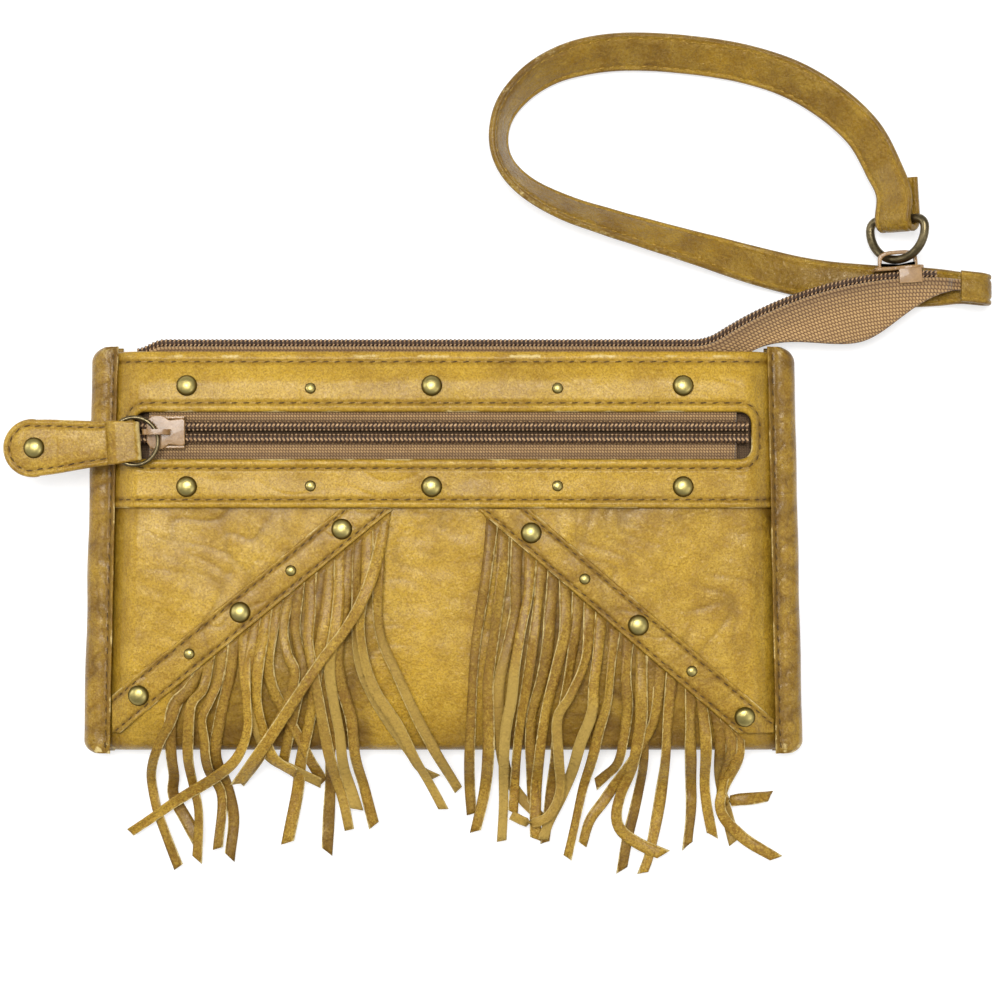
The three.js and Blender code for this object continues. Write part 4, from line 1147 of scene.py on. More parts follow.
LEFT_STRANDS = [
    [(-15, 7.5), (-16.5, -0.5), (-19.5, -10.5), (-24.5, -20), (-31, -28.5), (-37.5, -38), (-45.5,
     -50), (-54.5, -62.5)],
    [(-17, 5.5), (-16.5, -4), (-17, -14), (-16, -23.5), (-12, -32.5), (-7.5, -42.5), (-2.5, -52.5),
     (4, -64.5)],
    [(-19.5, 2.5), (-20, -8.5), (-21.5, -19.5), (-20, -30), (-17, -38), (-11.5, -46.5), (-6, -58),
     (0, -69.5)],
    [(-22, 1.5), (-22.5, -9.5), (-22.5, -20.5), (-21.5, -30), (-18.5, -38), (-14, -46), (-9, -53.5),
     (-6, -58.5), (-2, -61)],
    [(-24.5, -1), (-25, -10.5), (-26.5, -20.5), (-27.5, -28.5), (-26.5, -35.5), (-24, -44.5), (-23,
     -55), (-21, -64), (-18.5, -74)],
    [(-27, -3.5), (-27, -12.5), (-28, -22), (-29.5, -30), (-28.5, -39.5), (-27, -48.5), (-26, -59),
     (-23, -69.5)],
    [(-29.5, -5.5), (-30, -14), (-31, -22), (-32.5, -30), (-33.5, -38), (-35, -46), (-37.5, -56.5),
     (-39, -66), (-41.5, -78.5)],
    [(-31.5, -7.5), (-32.5, -15.5), (-33, -23.5), (-31.5, -32.5), (-30.5, -40.5), (-29.5, -49.5),
     (-30, -60.5), (-30.5, -70), (-31, -81)],
    [(-34.5, -9.5), (-34.5, -16.5), (-35, -23.5), (-34, -30), (-32.5, -38), (-31, -47.5), (-29,
     -58.5), (-26.5, -67.5), (-25, -75)],
    [(-37.5, -12.5), (-38.5, -19.5), (-38, -24.5), (-36.5, -31.5), (-38.5, -40.5), (-40.5, -49.5),
     (-42.5, -58)],
    [(-40, -13.5), (-41.5, -20.5), (-40.5, -27.5), (-38.5, -32.5), (-40.5, -40.5), (-44.5, -47.5),
     (-48, -55), (-54, -62.5)],
    [(-43, -16), (-44.5, -22.5), (-45.5, -30), (-44.5, -36.5), (-41.5, -42.5), (-37.5, -50), (-34.5,
     -57), (-32, -62.5)],
    [(-46, -18.5), (-47, -24.5), (-48, -31.5), (-48.5, -39.5), (-47, -47.5), (-44.5, -55), (-39,
     -59.5)],
    [(-49, -20.5), (-50, -27.5), (-51, -34), (-50.5, -42), (-48.5, -48), (-45.5, -55), (-39, -59),
     (-32.5, -62.5)],
    [(-52, -23.5), (-51.5, -32.5), (-51, -40.5), (-51, -47.5), (-54, -55), (-60, -60.5), (-70.5,
     -67), (-77, -71.5), (-83, -75.5)],
    [(-54.5, -26), (-55.5, -32.5), (-57.5, -40.5), (-59, -47.5), (-60, -55), (-58, -63), (-56, -72),
     (-57, -82.5)],
    [(-57.5, -28.5), (-58.5, -34), (-61, -40), (-63, -44.5), (-62.5, -50.5), (-62, -59), (-59,
     -66.5), (-60, -80)],
    [(-61, -31.5), (-62.5, -36.5), (-65.5, -40.5), (-66.5, -47.5), (-67, -56), (-66.5, -62.5), (-65,
     -70.5), (-65.5, -83)],
    [(-63.5, -33.5), (-66.5, -37), (-70, -40.5), (-71.5, -46), (-71.5, -55), (-71.5, -60.5), (-72,
     -66), (-68, -73.5), (-65.5, -78)],
    [(-67, -36.5), (-69.5, -40.5), (-71.5, -46), (-74.5, -51.5), (-77.5, -60.5), (-76.5, -68.5),
     (-73.5, -77), (-70.5, -85)],
]
RIGHT_STRANDS = [
    [(13, 5.5), (11.5, -6.5), (9, -23), (8, -34), (7.5, -44.5), (7, -55), (7, -63.5), (7.5, -71)],
    [(16, 2), (15.5, -6.5), (13.5, -23), (12, -34), (12, -43), (12, -53.5), (11, -64.5), (8.5,
     -75.5)],
    [(19.5, -1.5), (19, -9.5), (19, -16), (17, -25.5), (15, -34), (14.5, -42), (15, -49.5), (17,
     -60.5), (21, -67), (25.5, -71.5)],
    [(23, -4), (22.5, -11.5), (20.5, -21.5), (19, -30.5), (18, -39.5), (16.5, -48), (16, -58), (16,
     -68), (15.5, -78)],
    [(26, -6.5), (25, -14), (23.5, -25.5), (22, -35.5), (20.5, -44.5), (19.5, -53.5), (19, -62),
     (18.5, -70.5)],
    [(29, -9.5), (28, -18), (27.5, -25.5), (26, -34), (23.5, -43), (23, -50.5), (23.5, -59.5), (24,
     -68.5)],
    [(32, -12.5), (32, -21.5), (30, -30.5), (27.5, -40.5), (26, -49.5), (25, -59.5), (24.5, -68),
     (24.5, -77.5)],
    [(35.5, -14.5), (34.5, -23), (33, -33), (31.5, -41), (30, -48), (29.5, -57), (28.5, -66), (27,
     -78.5)],
    [(38.5, -18), (37.5, -28), (33.5, -38), (30, -44.5), (30.5, -55.5), (31, -64.5), (28, -71), (23,
     -73), (18, -71)],
    [(41.5, -20.5), (40.5, -28), (39.5, -35.5), (39, -43), (36, -51.5), (34, -59.5), (31.5, -66),
     (28, -73), (26.5, -77.5)],
    [(45, -23), (44, -31.5), (43, -40.5), (41, -48), (39, -57), (37, -64.5), (35, -73.5), (33,
     -82.5)],
    [(48.5, -25.5), (48, -34), (48.5, -42), (47.5, -50.5), (46, -57), (43, -60.5), (40.5, -63)],
    [(52, -28), (52, -37), (52, -44.5), (51, -52), (49.5, -59.5), (47, -66), (46, -71.5), (47.5,
     -75.5), (52.5, -79), (58.5, -81.5)],
    [(55, -31), (54.5, -41), (53, -48), (53, -55.5), (52.5, -62), (51, -69.5), (49, -77.5), (47.5,
     -86)],
    [(57, -34), (55.5, -44.5), (52, -52), (47.5, -60), (43, -67), (39, -72.5), (37, -79)],
    [(60, -26.5), (59, -45), (58, -64.5), (55, -80.5), (53, -86.5)],
    [(65, -30), (65, -50), (66, -67), (65, -79.5)],
    [(68, -33.5), (69, -50), (69.5, -64.5), (71.5, -76.5)],
    [(71.5, -37), (73, -50), (73.5, -61.5), (77.5, -78.5)],
    [(74.5, -39.5), (76, -52.5), (74, -66), (79.5, -67), (87, -66)],
    [(78, -43), (77.5, -56.5), (73.5, -68.5), (79, -76.5), (88.5, -82.5)],
]

# How high each strand lies over its neighbours, and how much of its matt back shows
LEFT_LAYERS = [4, 1, 2, 0, 1, 2, 1, 0, 2, 0, 1, 0, 2, 1, 3, 0, 1, 2, 0, 1]
LEFT_BACKS = {1: 0.6, 2: 0.7, 3: 0.9, 5: 0.9, 8: 0.3, 13: 0.8}
RIGHT_LAYERS = [0, 1, 0, 2, 1, 0, 1, 0, 3, 2, 1, 0, 2, 0, 1, 1, 0, 2, 0, 1, 2]
RIGHT_BACKS = {2: 0.5, 3: 1.0, 8: 0.6, 9: 1.0, 18: 0.6}


def strand_piece(name, stops, band, order, layer, backed):
    """One cut strand: a ribbon that hangs from the band, rolls a little, and ends in a slanted cut."""
    source = np.random.RandomState(100 + order * 7 + (0 if band[1][0] < 0 else 500))
    along, across = band_frame(band)
    side = math.copysign(1, band[1][0])
    on_edge = np.array(band[0]) - across * side * (TRIM_WIDTH / 2 + 0.1)
    slope = along[1] / along[0]
    first = (stops[0][0], on_edge[1] + (stops[0][0] - on_edge[0]) * slope)
    rows, columns = 46, 5
    path = smooth_path([first, *stops[1:]], rows)
    t = np.linspace(0, 1, rows)[:, None]
    direction = unit(np.gradient(path, axis=0))
    sideways = np.column_stack([-direction[:, 1], direction[:, 0]])
    sideways *= np.sign(sideways[:, 0])[:, None]
    straight = smooth(t * 7)
    sideways = unit(mix(np.array([[1.0, 0.0]]), sideways, straight))
    width = STRAND_WIDTH * source.uniform(0.84, 1.0) * (1 + 0.08 * np.sin(t * 9 + order))
    width = mix(STRAND_WIDTH * 0.97, width, straight)
    most = 0.55 * source.uniform(-1, 1)
    roll = most * np.sin(math.pi * t * source.uniform(1.2, 2.6) + source.uniform(0, 3)) * smooth(t * 4)
    place = np.linspace(-0.5, 0.5, columns)[None, :]
    offset = width * place
    cut = smooth((t - 0.97) / 0.03) * source.uniform(-0.9, 0.9) * offset
    hanging = slope * offset * (1 - smooth(t * 9))
    x = path[:, 0:1] + sideways[:, 0:1] * offset * np.cos(roll) + direction[:, 0:1] * cut
    y = path[:, 1:2] + sideways[:, 1:2] * offset * np.cos(roll) + hanging + direction[:, 1:2] * cut
    on_pouch = surface(x, np.maximum(y, BODY_BOTTOM + 2)) + CLEARANCE
    low = mix(on_pouch, 0.3, smooth((BODY_BOTTOM + 1.5 - y) / 13))
    rise = offset * np.sin(roll)
    low = low + layer * 0.85 * smooth(t * 3.2) + np.abs(rise) + rise
    low = low + 0.35 * (1 + np.sin(t * source.uniform(8, 15) + order)) * smooth(t * 4)
    camber = 0.22 * np.cos(place * math.pi)
    thickness = STRAND_THICKNESS * 0.72
    bright_side = source.choice([-1, 1])
    on_rim = (np.abs(place) > 0.45) & (np.sign(place) == bright_side)
    wear = np.where(on_rim, 0.66, 0.05) + 0.3 * (t > 0.985)
    # Per-strand random tone, with painted shade on the lowest strands, at the roots under the band, along the
    # edges and towards the tips of the lowest layer.
    tone = source.uniform(0, 0.45 if side < 0 else 0.3) + 0.2 * (layer < 1)
    shade = tone + 0.5 * np.exp(-t * 16) + 0.35 * np.abs(place) ** 2 * 4 * (layer < 2)
    shade = shade + 0.25 * smooth((-50 - y) / 10) * (layer < 1)
    marks = {"wear": wear, "shade": np.clip(shade, 0, 0.8)}
    upper = np.dstack([x, y, low + thickness + camber])
    piece = sheet_piece(name, upper, np.dstack([x, y, low]), "fringe", marks)
    back_shown = backed * smooth((t - 0.3) / 0.15) + 0 * x
    set_mark(piece, "raw_back", [back_shown, np.ones(x.shape)])
    return piece


class POUCH_OT_fringe(bpy.types.Operator):
    """Cut leather strands below each slanting band"""

    bl_idname = "pouch.fringe"
    bl_label = "Fringe"

    def execute(self, context):
        for name, band, strands, layers, backs in (
            ("left", LEFT_TRIM, LEFT_STRANDS, LEFT_LAYERS, LEFT_BACKS),
            ("right", RIGHT_TRIM, RIGHT_STRANDS, RIGHT_LAYERS, RIGHT_BACKS),
        ):
            made = [
                strand_piece(f"{name}_strand_{i}", stops, band, i, layers[i], backs.get(i, 0.0))
                for i, stops in enumerate(strands)
            ]
            piece = join_pieces(f"{name}_fringe_strands", made)
            finish_piece(piece, "bag", "fringe_leather", f"{name}_fringe")
        return {"FINISHED"}


# Studs

def turned_stud(name, radius, height, segments):
    """A domed stud turned about its own axis, darker at its foot."""
    profile = [(0.97, 0), (1, 0.1), (0.97, 0.22), (0.88, 0.28)]
    for k in range(8):
        angle = math.radians(8 + 82 * k / 8)
        profile.append((0.9 * math.cos(angle), 0.3 + 0.7 * math.sin(angle)))
    points = [(0, 0, 0)]
    shades = [1.0]
    for r, z in profile:
        for k in range(segments):
            angle = 2 * math.pi * k / segments
            points.append((radius * r * math.cos(angle), radius * r * math.sin(angle), z * height))
            shades.append(float(np.clip((r - 0.72) / 0.2, 0, 1)))
    top = len(points) - segments
    faces = []
    for k in range(segments):
        n = (k + 1) % segments
        faces.append((0, 1 + n, 1 + k))
        faces += [(a + k, a + n, a + segments + n, a + segments + k) for a in range(1, top, segments)]
        faces.append((top + k, top + n, len(points)))
    stud = new_piece(name, [*points, (0, 0, height)], faces, "brass")
    set_mark(stud, "shade", [*shades, 0.0])
    return stud


def stud_places():
    """Large and small studs: each has its foot and the direction in which it stands."""
    places = {"large": [], "small": []}

    def stand(size, x, y, lift, step=2.5):
        slope_x = (surface(x + step, y) - surface(x - step, y)) / (2 * step)
        slope_y = (surface(x, y + step) - surface(x, y - step)) / (2 * step)
        places[size].append(((x, y, float(surface(x, y) + lift)), (-slope_x, -slope_y, 1.0)))

    for size, across, upwards in (
        ("large", (-66.8, -2.8, 62.9), (42.6, 16.2)),
        ("small", (-34.5, 30.1), (41.9, 16.4)),
    ):
        for x in across:
            for y in upwards:
                stand(size, x, y, CLEARANCE + LEATHER + 0.1)
    for band in (LEFT_TRIM, RIGHT_TRIM):
        for i in range(5):
            x, y = (mix(start, end, i / 4) for start, end in zip(*band))
            lift = CLEARANCE + TRIM_THICKNESS + 0.15 + 1.4 * float(over_shoulder(x))
            stand("small" if i % 2 else "large", x, y, lift)
    return places


class POUCH_OT_studs(bpy.types.Operator):
    """Large and small domed brass studs"""

    bl_idname = "pouch.studs"
    bl_label = "Studs"

    def execute(self, context):
        nodes = sorted(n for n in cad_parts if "stud_" in n)
        places = stud_places()
        for size, shape, segments in (("large", STUD_LARGE, 24), ("small", STUD_SMALL, 18)):
            name = f"{size}_studs"
            feet, stands = zip(*places[size])
            stud = turned_stud(name + "_one", *shape, segments)
            source = path_object(name + "_places", feet, [], stands, "stands")
            piece = grown(name, source, shared_tree(stud_tree, "Studs on points"), "brass", {"Stud": stud})
            bpy.data.objects.remove(stud)
            own = [n for n in nodes if n.startswith("small") == (size == "small")]
            finish_piece(piece, "bag", "stud_brass", *own)
        return {"FINISHED"}


# Zips

def give_weave_map(piece, along, across):
    """A map in millimetres along and across a tape, for its weave."""
    layer = piece.data.uv_layers.new(name="weave_mm")
    corners = np.zeros(len(piece.data.loops), np.int32)
    piece.data.loops.foreach_get("vertex_index", corners)
    pairs = np.column_stack([np.tile(values.ravel(), 2)[corners] for values in (along, across)])
    layer.data.foreach_set("uv", pairs.astype(np.float32).ravel())


def core_cord(name, path, across, half_out, half_up):
    """The dark cord inside a coil, oval in section."""
    out = unit(across)
    up = np.cross(unit(np.gradient(path, axis=0)), out)
    angles = np.linspace(0, 2 * math.pi, 10, endpoint=False)
    rings = path[:, None, :] + out[:, None, :] * (half_out * np.cos(angles))[None, :, None]
    rings = rings + up[:, None, :] * (half_up * np.sin(angles))[None, :, None]
    return tube_piece(name, rings, "core")


def coil_piece(name, paths, marks, width, height, pitch):
    """A zip's coils along paths; marks point from each path's middle to its outer side."""
    wire = 0.3
    points, directions = np.concatenate(paths), np.concatenate(marks)
    source = path_object(name + "_path", points, path_edges(paths), directions, "across")
    loop_width, loop_height = (width - 2 * wire) * MM, (height - 2 * wire) * MM
    values = {"Pitch": pitch, "Width": loop_width, "Height": loop_height, "Wire": wire * MM}
    return grown(name, source, shared_tree(coil_tree, "Coil turns along a path"), "coil", values)


class POUCH_OT_pocket_zip(bpy.types.Operator):
    """Tapes, nylon coil and coil threads of the front pocket's zip"""

    bl_idname = "pouch.pocket_zip"
    bl_label = "Pocket zip"

    def execute(self, context):
        pitch = context.scene.pouch_sizes.coil_pitch
        left, right = WINDOW[0] + 0.8, WINDOW[1] - 0.8
        coil_z = POCKET_TAPE_Z + CLEARANCE + 0.7
        tapes = []
        paths = []
        marks = []
        threads = []
        heads = []
        cores = []
        for side in (1, -1):
            along = np.linspace(left + 3, right - 3, 120)[:, None]
            across = np.linspace(CHAIN_GAP / 2, 10.6, 16)[None, :]
            x = along + 0 * across
            y = POCKET_ZIP_Y + side * across + 0 * along
            upper = np.dstack([x, y, POCKET_TAPE_Z - 0.12 + 0.1 * np.clip(lumps(x, y, 30, 91), -1, 1)])
            lower = np.dstack([x, y, 0 * x + POCKET_TAPE_Z - TAPE])
            shade = 0.75 * np.exp(-np.abs(6.1 - across) / 0.9) + 0.75 * np.exp(-np.abs(across - 3.1) / 0.45)
            tapes.append(sheet_piece("pocket_tape", upper, lower, "tape", {"shade": np.clip(shade, 0, 0.8)}))
            give_weave_map(tapes[-1], x, y)
            start = left + 0.35 + (0 if side > 0 else pitch / MM / 2)
            x = np.linspace(start, right - 0.4, 60)

            def beside(out, height):
                return np.column_stack([x, x * 0 + POCKET_ZIP_Y + side * out, x * 0 + coil_z + height])

            paths.append(beside(0.34 + 1.34, 0))
            marks.append(np.column_stack([x * 0, x * 0 + side, x * 0]))
            threads.append(beside(1.85, 0.62))
            heads.append(beside(0.62, 0.6))
            cores.append(core_cord("core", paths[-1], marks[-1], 1.0, 0.42))
        tape = join_pieces("pocket_tapes", tapes)
        finish_piece(tape, "bag", "zip_tape", "pocket_zip_upper_tape", "pocket_zip_lower_tape")
        coils = coil_piece("pocket_coils", paths, marks, 2.72, 1.36, pitch)
        finish_piece(coils, "bag", "zip_coil", "pocket_zip_upper_coil", "pocket_zip_lower_coil")
        for side, row in zip((1, -1), threads):
            chevrons = sewn("pocket_coil_threads", [row], "coil_thread", 1.15, 0.62, pitch, side * 0.75)
            finish_piece(chevrons, "bag", "zip_coil")
        dots = sewn("pocket_coil_heads", heads, "coil_thread", 0.55, 0.4, pitch, 0)
        finish_piece(dots, "bag", "zip_coil")
        finish_piece(join_pieces("pocket_coil_cores", cores), "bag", "zip_coil")
        return {"FINISHED"}


BEND_ANGLE = math.acos((MAIN_ZIP_Y + TAIL_BEND - TAIL_Y) / (TAIL_RADIUS + TAIL_BEND))
BEND_X = TAIL_X - (TAIL_RADIUS + TAIL_BEND) * math.sin(BEND_ANGLE)
STRAIGHT_LENGTH = BEND_X - MAIN_ZIP_LEFT
BEND_LENGTH = TAIL_BEND * BEND_ANGLE
COIL_SHARE = 0.25


def zip_line(distance):
    """Place and direction on the main zip's line, at a distance from its left end."""
    if distance <= STRAIGHT_LENGTH:
        return MAIN_ZIP_LEFT + distance, MAIN_ZIP_Y, 0.0
    if distance <= STRAIGHT_LENGTH + BEND_LENGTH:
        turn = (distance - STRAIGHT_LENGTH) / TAIL_BEND
        return BEND_X + TAIL_BEND * math.sin(turn), MAIN_ZIP_Y + TAIL_BEND * (1 - math.cos(turn)), turn
    turn = BEND_ANGLE - (distance - STRAIGHT_LENGTH - BEND_LENGTH) / TAIL_RADIUS
    return TAIL_X - TAIL_RADIUS * math.sin(turn), TAIL_Y + TAIL_RADIUS * math.cos(turn), turn


def distance_at_tail(x):
    turn = math.asin((TAIL_X - x) / TAIL_RADIUS)
    return STRAIGHT_LENGTH + BEND_LENGTH + (BEND_ANGLE - turn) * TAIL_RADIUS


def beside_zip(distance, out, height):
    x, y, turn = zip_line(distance)
    return np.array([x - math.sin(turn) * out, y + math.cos(turn) * out, MAIN_ZIP_Z + height])


def tail_tape_width(turn):
    """Width of the folded tape, widest where the tail leaves the pouch."""
    degrees = math.degrees(turn)
    if degrees > 12:
        share = smooth((degrees - 12) / (math.degrees(BEND_ANGLE) - 15))
        return mix(16, MAIN_ZIP_Y - MAIN_TAPE_FOOT, share)
    return mix(16, 3.6, smooth((12 - degrees) / 18))


def left_drop(distance):
    """How far the main zip's left end dips into the pouch."""
    return 2.4 * (1 - smooth(distance / 7))


def main_tape_point(distance, share, side):
    """Middle of one main tape's thickness, from its coil edge to its sewn or folded edge."""
    turn = zip_line(distance)[2]
    below_coil = -COIL_DEPTH / 2 - CLEARANCE
    in_tail = smooth((distance - STRAIGHT_LENGTH + 4) / (BEND_LENGTH + 8))
    started = distance >= STRAIGHT_LENGTH + BEND_LENGTH
    width = tail_tape_width(turn) if started else MAIN_ZIP_Y - MAIN_TAPE_FOOT
    turned_down = max(0.0, (share - COIL_SHARE) / (1 - COIL_SHARE))
    beyond_coil = smooth(share / COIL_SHARE)
    out = mix(-0.75 - TAPE / 2 - 0.25 * beyond_coil, -width, turned_down)
    x, y, _ = beside_zip(distance, out, 0)
    beside = 2 + CHAIN_GAP / 2 + 1.3 * CLEARANCE + TAPE / 2
    in_pouch = front(x, min(y, BODY_TOP)) - CLEARANCE / 2 - TAPE / 2 if side > 0 else 1.9
    in_pouch = mix(MAIN_ZIP_Z + side * beside, in_pouch, smooth((below_coil - out) / 2.5))
    close_up = smooth((distance - distance_at_tail(TAIL_COIL_END + 2)) / 2.4)
    folded = mix(mix(beside, 0.8, smooth((below_coil - out) / 6)), 0.62, close_up)
    z = mix(in_pouch, MAIN_ZIP_Z + side * folded, in_tail)
    z = mix(MAIN_ZIP_Z + side * 0.3, z, beyond_coil)
    return x, y - left_drop(distance), float(z), out


class POUCH_OT_main_zip(bpy.types.Operator):
    """Tapes, nylon coil and coil threads of the main zip, with its folded tail"""

    bl_idname = "pouch.main_zip"
    bl_label = "Main zip"

    def execute(self, context):
        pitch = context.scene.pouch_sizes.coil_pitch
        length = distance_at_tail(TAIL_END)
        bend_start = STRAIGHT_LENGTH - 8
        rows = np.concatenate([np.linspace(0, bend_start, 90)[:-1], np.linspace(bend_start, length, 110)])
        shares = np.linspace(0, 1, 22)
        distances = np.arange(0.4, distance_at_tail(TAIL_COIL_END) - 0.4, 0.9)
        drop = np.array([[0, left_drop(d), 0] for d in distances])
        faces = ((1, "front"), (-1, "back"))
        for side, name in faces:
            route = np.array([[main_tape_point(row, share, side) for share in shares] for row in rows])
            middle, out = route[:, :, :3], route[:, :, 3]
            sag = 0.12 * lumps(middle[:, :, 0], middle[:, :, 1], 11, 95) * smooth((-2 - out) / 3) * (side > 0)
            half = TAPE / 2 - rim_drop((1 - shares)[None, :, None] * 12, 0.22)
            facing = unit(np.cross(np.gradient(middle, axis=1), np.gradient(middle, axis=0)))
            facing *= np.where(facing[:, -1:, 2:] < 0, -1, 1)
            upper = middle + facing * half
            upper[:, :, 2] += sag
            shade = 0.7 * np.exp(-np.abs(out + 2.0) / 0.8) + 0.35 * smooth((shares[None, :] - 0.93) / 0.07)
            marks = {"shade": np.clip(shade, 0, 0.8)}
            tape = sheet_piece(f"main_{name}_tape", upper, middle - facing * half, "tail_tape", marks)
            give_weave_map(tape, rows[:, None] + 0 * out, out)
            finish_piece(tape, "bag", "zip_tape", f"main_zip_{name}_tape")
        for side, name in faces:
            height = side * (0.34 + 1.14)

            def line(out_of_zip, lift):
                return np.array([beside_zip(d, out_of_zip, lift) for d in distances]) - drop

            path = line(0.0, height)
            across = line(1.0, 0) - line(0.0, 0)
            coil = coil_piece(f"main_{name}_coil", [path], [across], 2.3, 2.26, pitch)
            finish_piece(coil, "bag", "zip_coil", f"main_zip_{name}_coil")
            finish_piece(core_cord(f"main_{name}_core", path, across, 0.86, 0.8), "bag", "zip_coil")
            threads = [line(out_of_zip, height + side * 1.06) for out_of_zip in (0.55, -0.6)]
            beads = sewn(f"main_{name}_coil_threads", threads, "coil_thread", 0.8, 0.42, pitch, 0.7)
            finish_piece(beads, "bag", "zip_coil")
        return {"FINISHED"}


# Sliders and rings

def plate(name, outline, depth, bevel=0.28, holes=()):
    """A flat enamelled part cut from an outline in millimetres, with softened edges, lying on z = 0."""
    curve = bpy.data.curves.new(name, "CURVE")
    curve.dimensions = "2D"
    curve.fill_mode = "BOTH"
    curve.extrude = depth / 2 * MM
    for ring in (outline, *holes):
        spline = curve.splines.new("POLY")
        spline.points.add(len(ring) - 1)
        for point, (x, y) in zip(spline.points, ring):
            point.co = (x * MM, y * MM, 0, 1)
        spline.use_cyclic_u = True
    mesh = evaluated_mesh(new_object(name, curve))
    work = bmesh.new()
    work.from_mesh(mesh)
    bmesh.ops.remove_doubles(work, verts=work.verts, dist=1e-6)
    bmesh.ops.dissolve_limit(work, angle_limit=0.02, verts=work.verts, edges=work.edges)
    bmesh.ops.recalc_face_normals(work, faces=work.faces)
    bmesh.ops.translate(work, verts=work.verts, vec=(0, 0, depth / 2 * MM))
    sharp = [e for e in work.edges if len(e.link_faces) == 2 and e.calc_face_angle(0) > 0.6]
    rounding = {"offset": bevel * MM, "segments": 3, "profile": 0.6, "affect": "EDGES", "clamp_overlap": True}
    bmesh.ops.bevel(work, geom=sharp, **rounding)
    bmesh.ops.triangulate(work, faces=[f for f in work.faces if len(f.verts) > 4])
    for face in work.faces:
        face.smooth = True
    for edge in work.edges:
        edge.smooth = not (len(edge.link_faces) == 2 and edge.calc_face_angle(0) > 0.7)
    work.to_mesh(mesh)
    work.free()
    mesh.materials.clear()
    mesh.materials.append(own_material("enamel"))
    return new_object(name, mesh)


def placed(piece, origin, x_axis, y_axis, z_axis):
    """Moves a mesh so that its own axes lie along three directions, from an origin in millimetres."""
    across, up, out = Vector(x_axis), Vector(y_axis), Vector(z_axis)
    for vertex in piece.data.vertices:
        co = vertex.co
        vertex.co = Vector(origin) * MM + across * co.x + up * co.y + out * co.z
    piece.data.update()
    return piece


def box_outline(left, right, low, high):
    return [(left, low), (right, low), (right, high), (left, high)]


def slider_outline(length, broad, narrow):
    half = length / 2
    side = [
        (-half, broad * 0.3),
        (-half + length * 0.1, broad * 0.47),
        (-half + length * 0.2, broad * 0.5),
        (-half + length * 0.42, broad * 0.5),
        (-half + length * 0.58, narrow * 0.44),
        (half - 0.6, narrow / 2),
        (half, narrow / 2 - 0.5),
    ]
    return [(x, -y) for x, y in side] + side[::-1]


def arch_outline(length, height, bar):
    """Outer and inner outline of a rounded bail, along the slider and upwards."""
    half = length / 2
    squared = 0.62
    outer = [(-half, -0.1)]
    inner = [(-half + bar, 0.35)]
    for k in range(13):
        angle = math.pi * (1 - k / 12)
        across = math.copysign(abs(math.cos(angle)) ** squared, math.cos(angle))
        up = 0.35 + 0.65 * math.sin(angle) ** squared
        outer.append((half * across, height * up))
        inner.append(((half - bar) * across, (height - bar) * up))
    return outer + [(half, -0.1)], inner + [(half - bar, 0.35)]


def wire_ring(name, points, radius):
    """A closed ring of round wire through points in millimetres."""
    points = np.asarray(points, float)
    along = unit(np.roll(points, -1, axis=0) - np.roll(points, 1, axis=0))
    normal = unit(np.cross(points[1] - points[0], points[len(points) // 2] - points[0]))
    out = np.cross(along, normal)[:, None, :]
    angles = np.linspace(0, 2 * math.pi, 14, endpoint=False)[None, :, None]
    rings = points[:, None, :] + radius * (out * np.cos(angles) + normal * np.sin(angles))
    return tube_piece(name, rings, "bronze", closed=True)


RING_ACROSS = np.array([math.cos(RING_TILT), 0, math.sin(RING_TILT)])
RING_UP = np.array([0.0, 1, 0])
RING_NORMAL = np.cross(RING_ACROSS, RING_UP)
BAIL_HOLE_OUT = COIL_DEPTH / 2 + CLEARANCE + 1 + (3.5 + 0.4) / 2
RING_BAR = beside_zip(distance_at_tail(MAIN_SLIDER_X), BAIL_HOLE_OUT, 0) + RING_UP * RING_DEPTH


def d_ring_points():
    """The ring's line from the left end of its bar, round its corners and its bow."""
    corner = 2.4
    straight = RING_HALF - corner
    places = [(mix(-1, 1, i / 8) * straight, 0) for i in range(9)]
    turns = [math.pi / 2 * i / 6 for i in range(1, 7)]
    places += [(straight + corner * math.sin(a), corner * (1 - math.cos(a))) for a in turns]
    bow = [math.pi * i / 40 for i in range(1, 40)]
    places += [(RING_HALF * math.cos(a), corner + (RING_DEPTH - corner) * math.sin(a)) for a in bow]
    places += [(-straight - corner * math.sin(a), corner * (1 - math.cos(a))) for a in turns[::-1]]
    return [RING_BAR + RING_ACROSS * across - RING_UP * down for across, down in places]


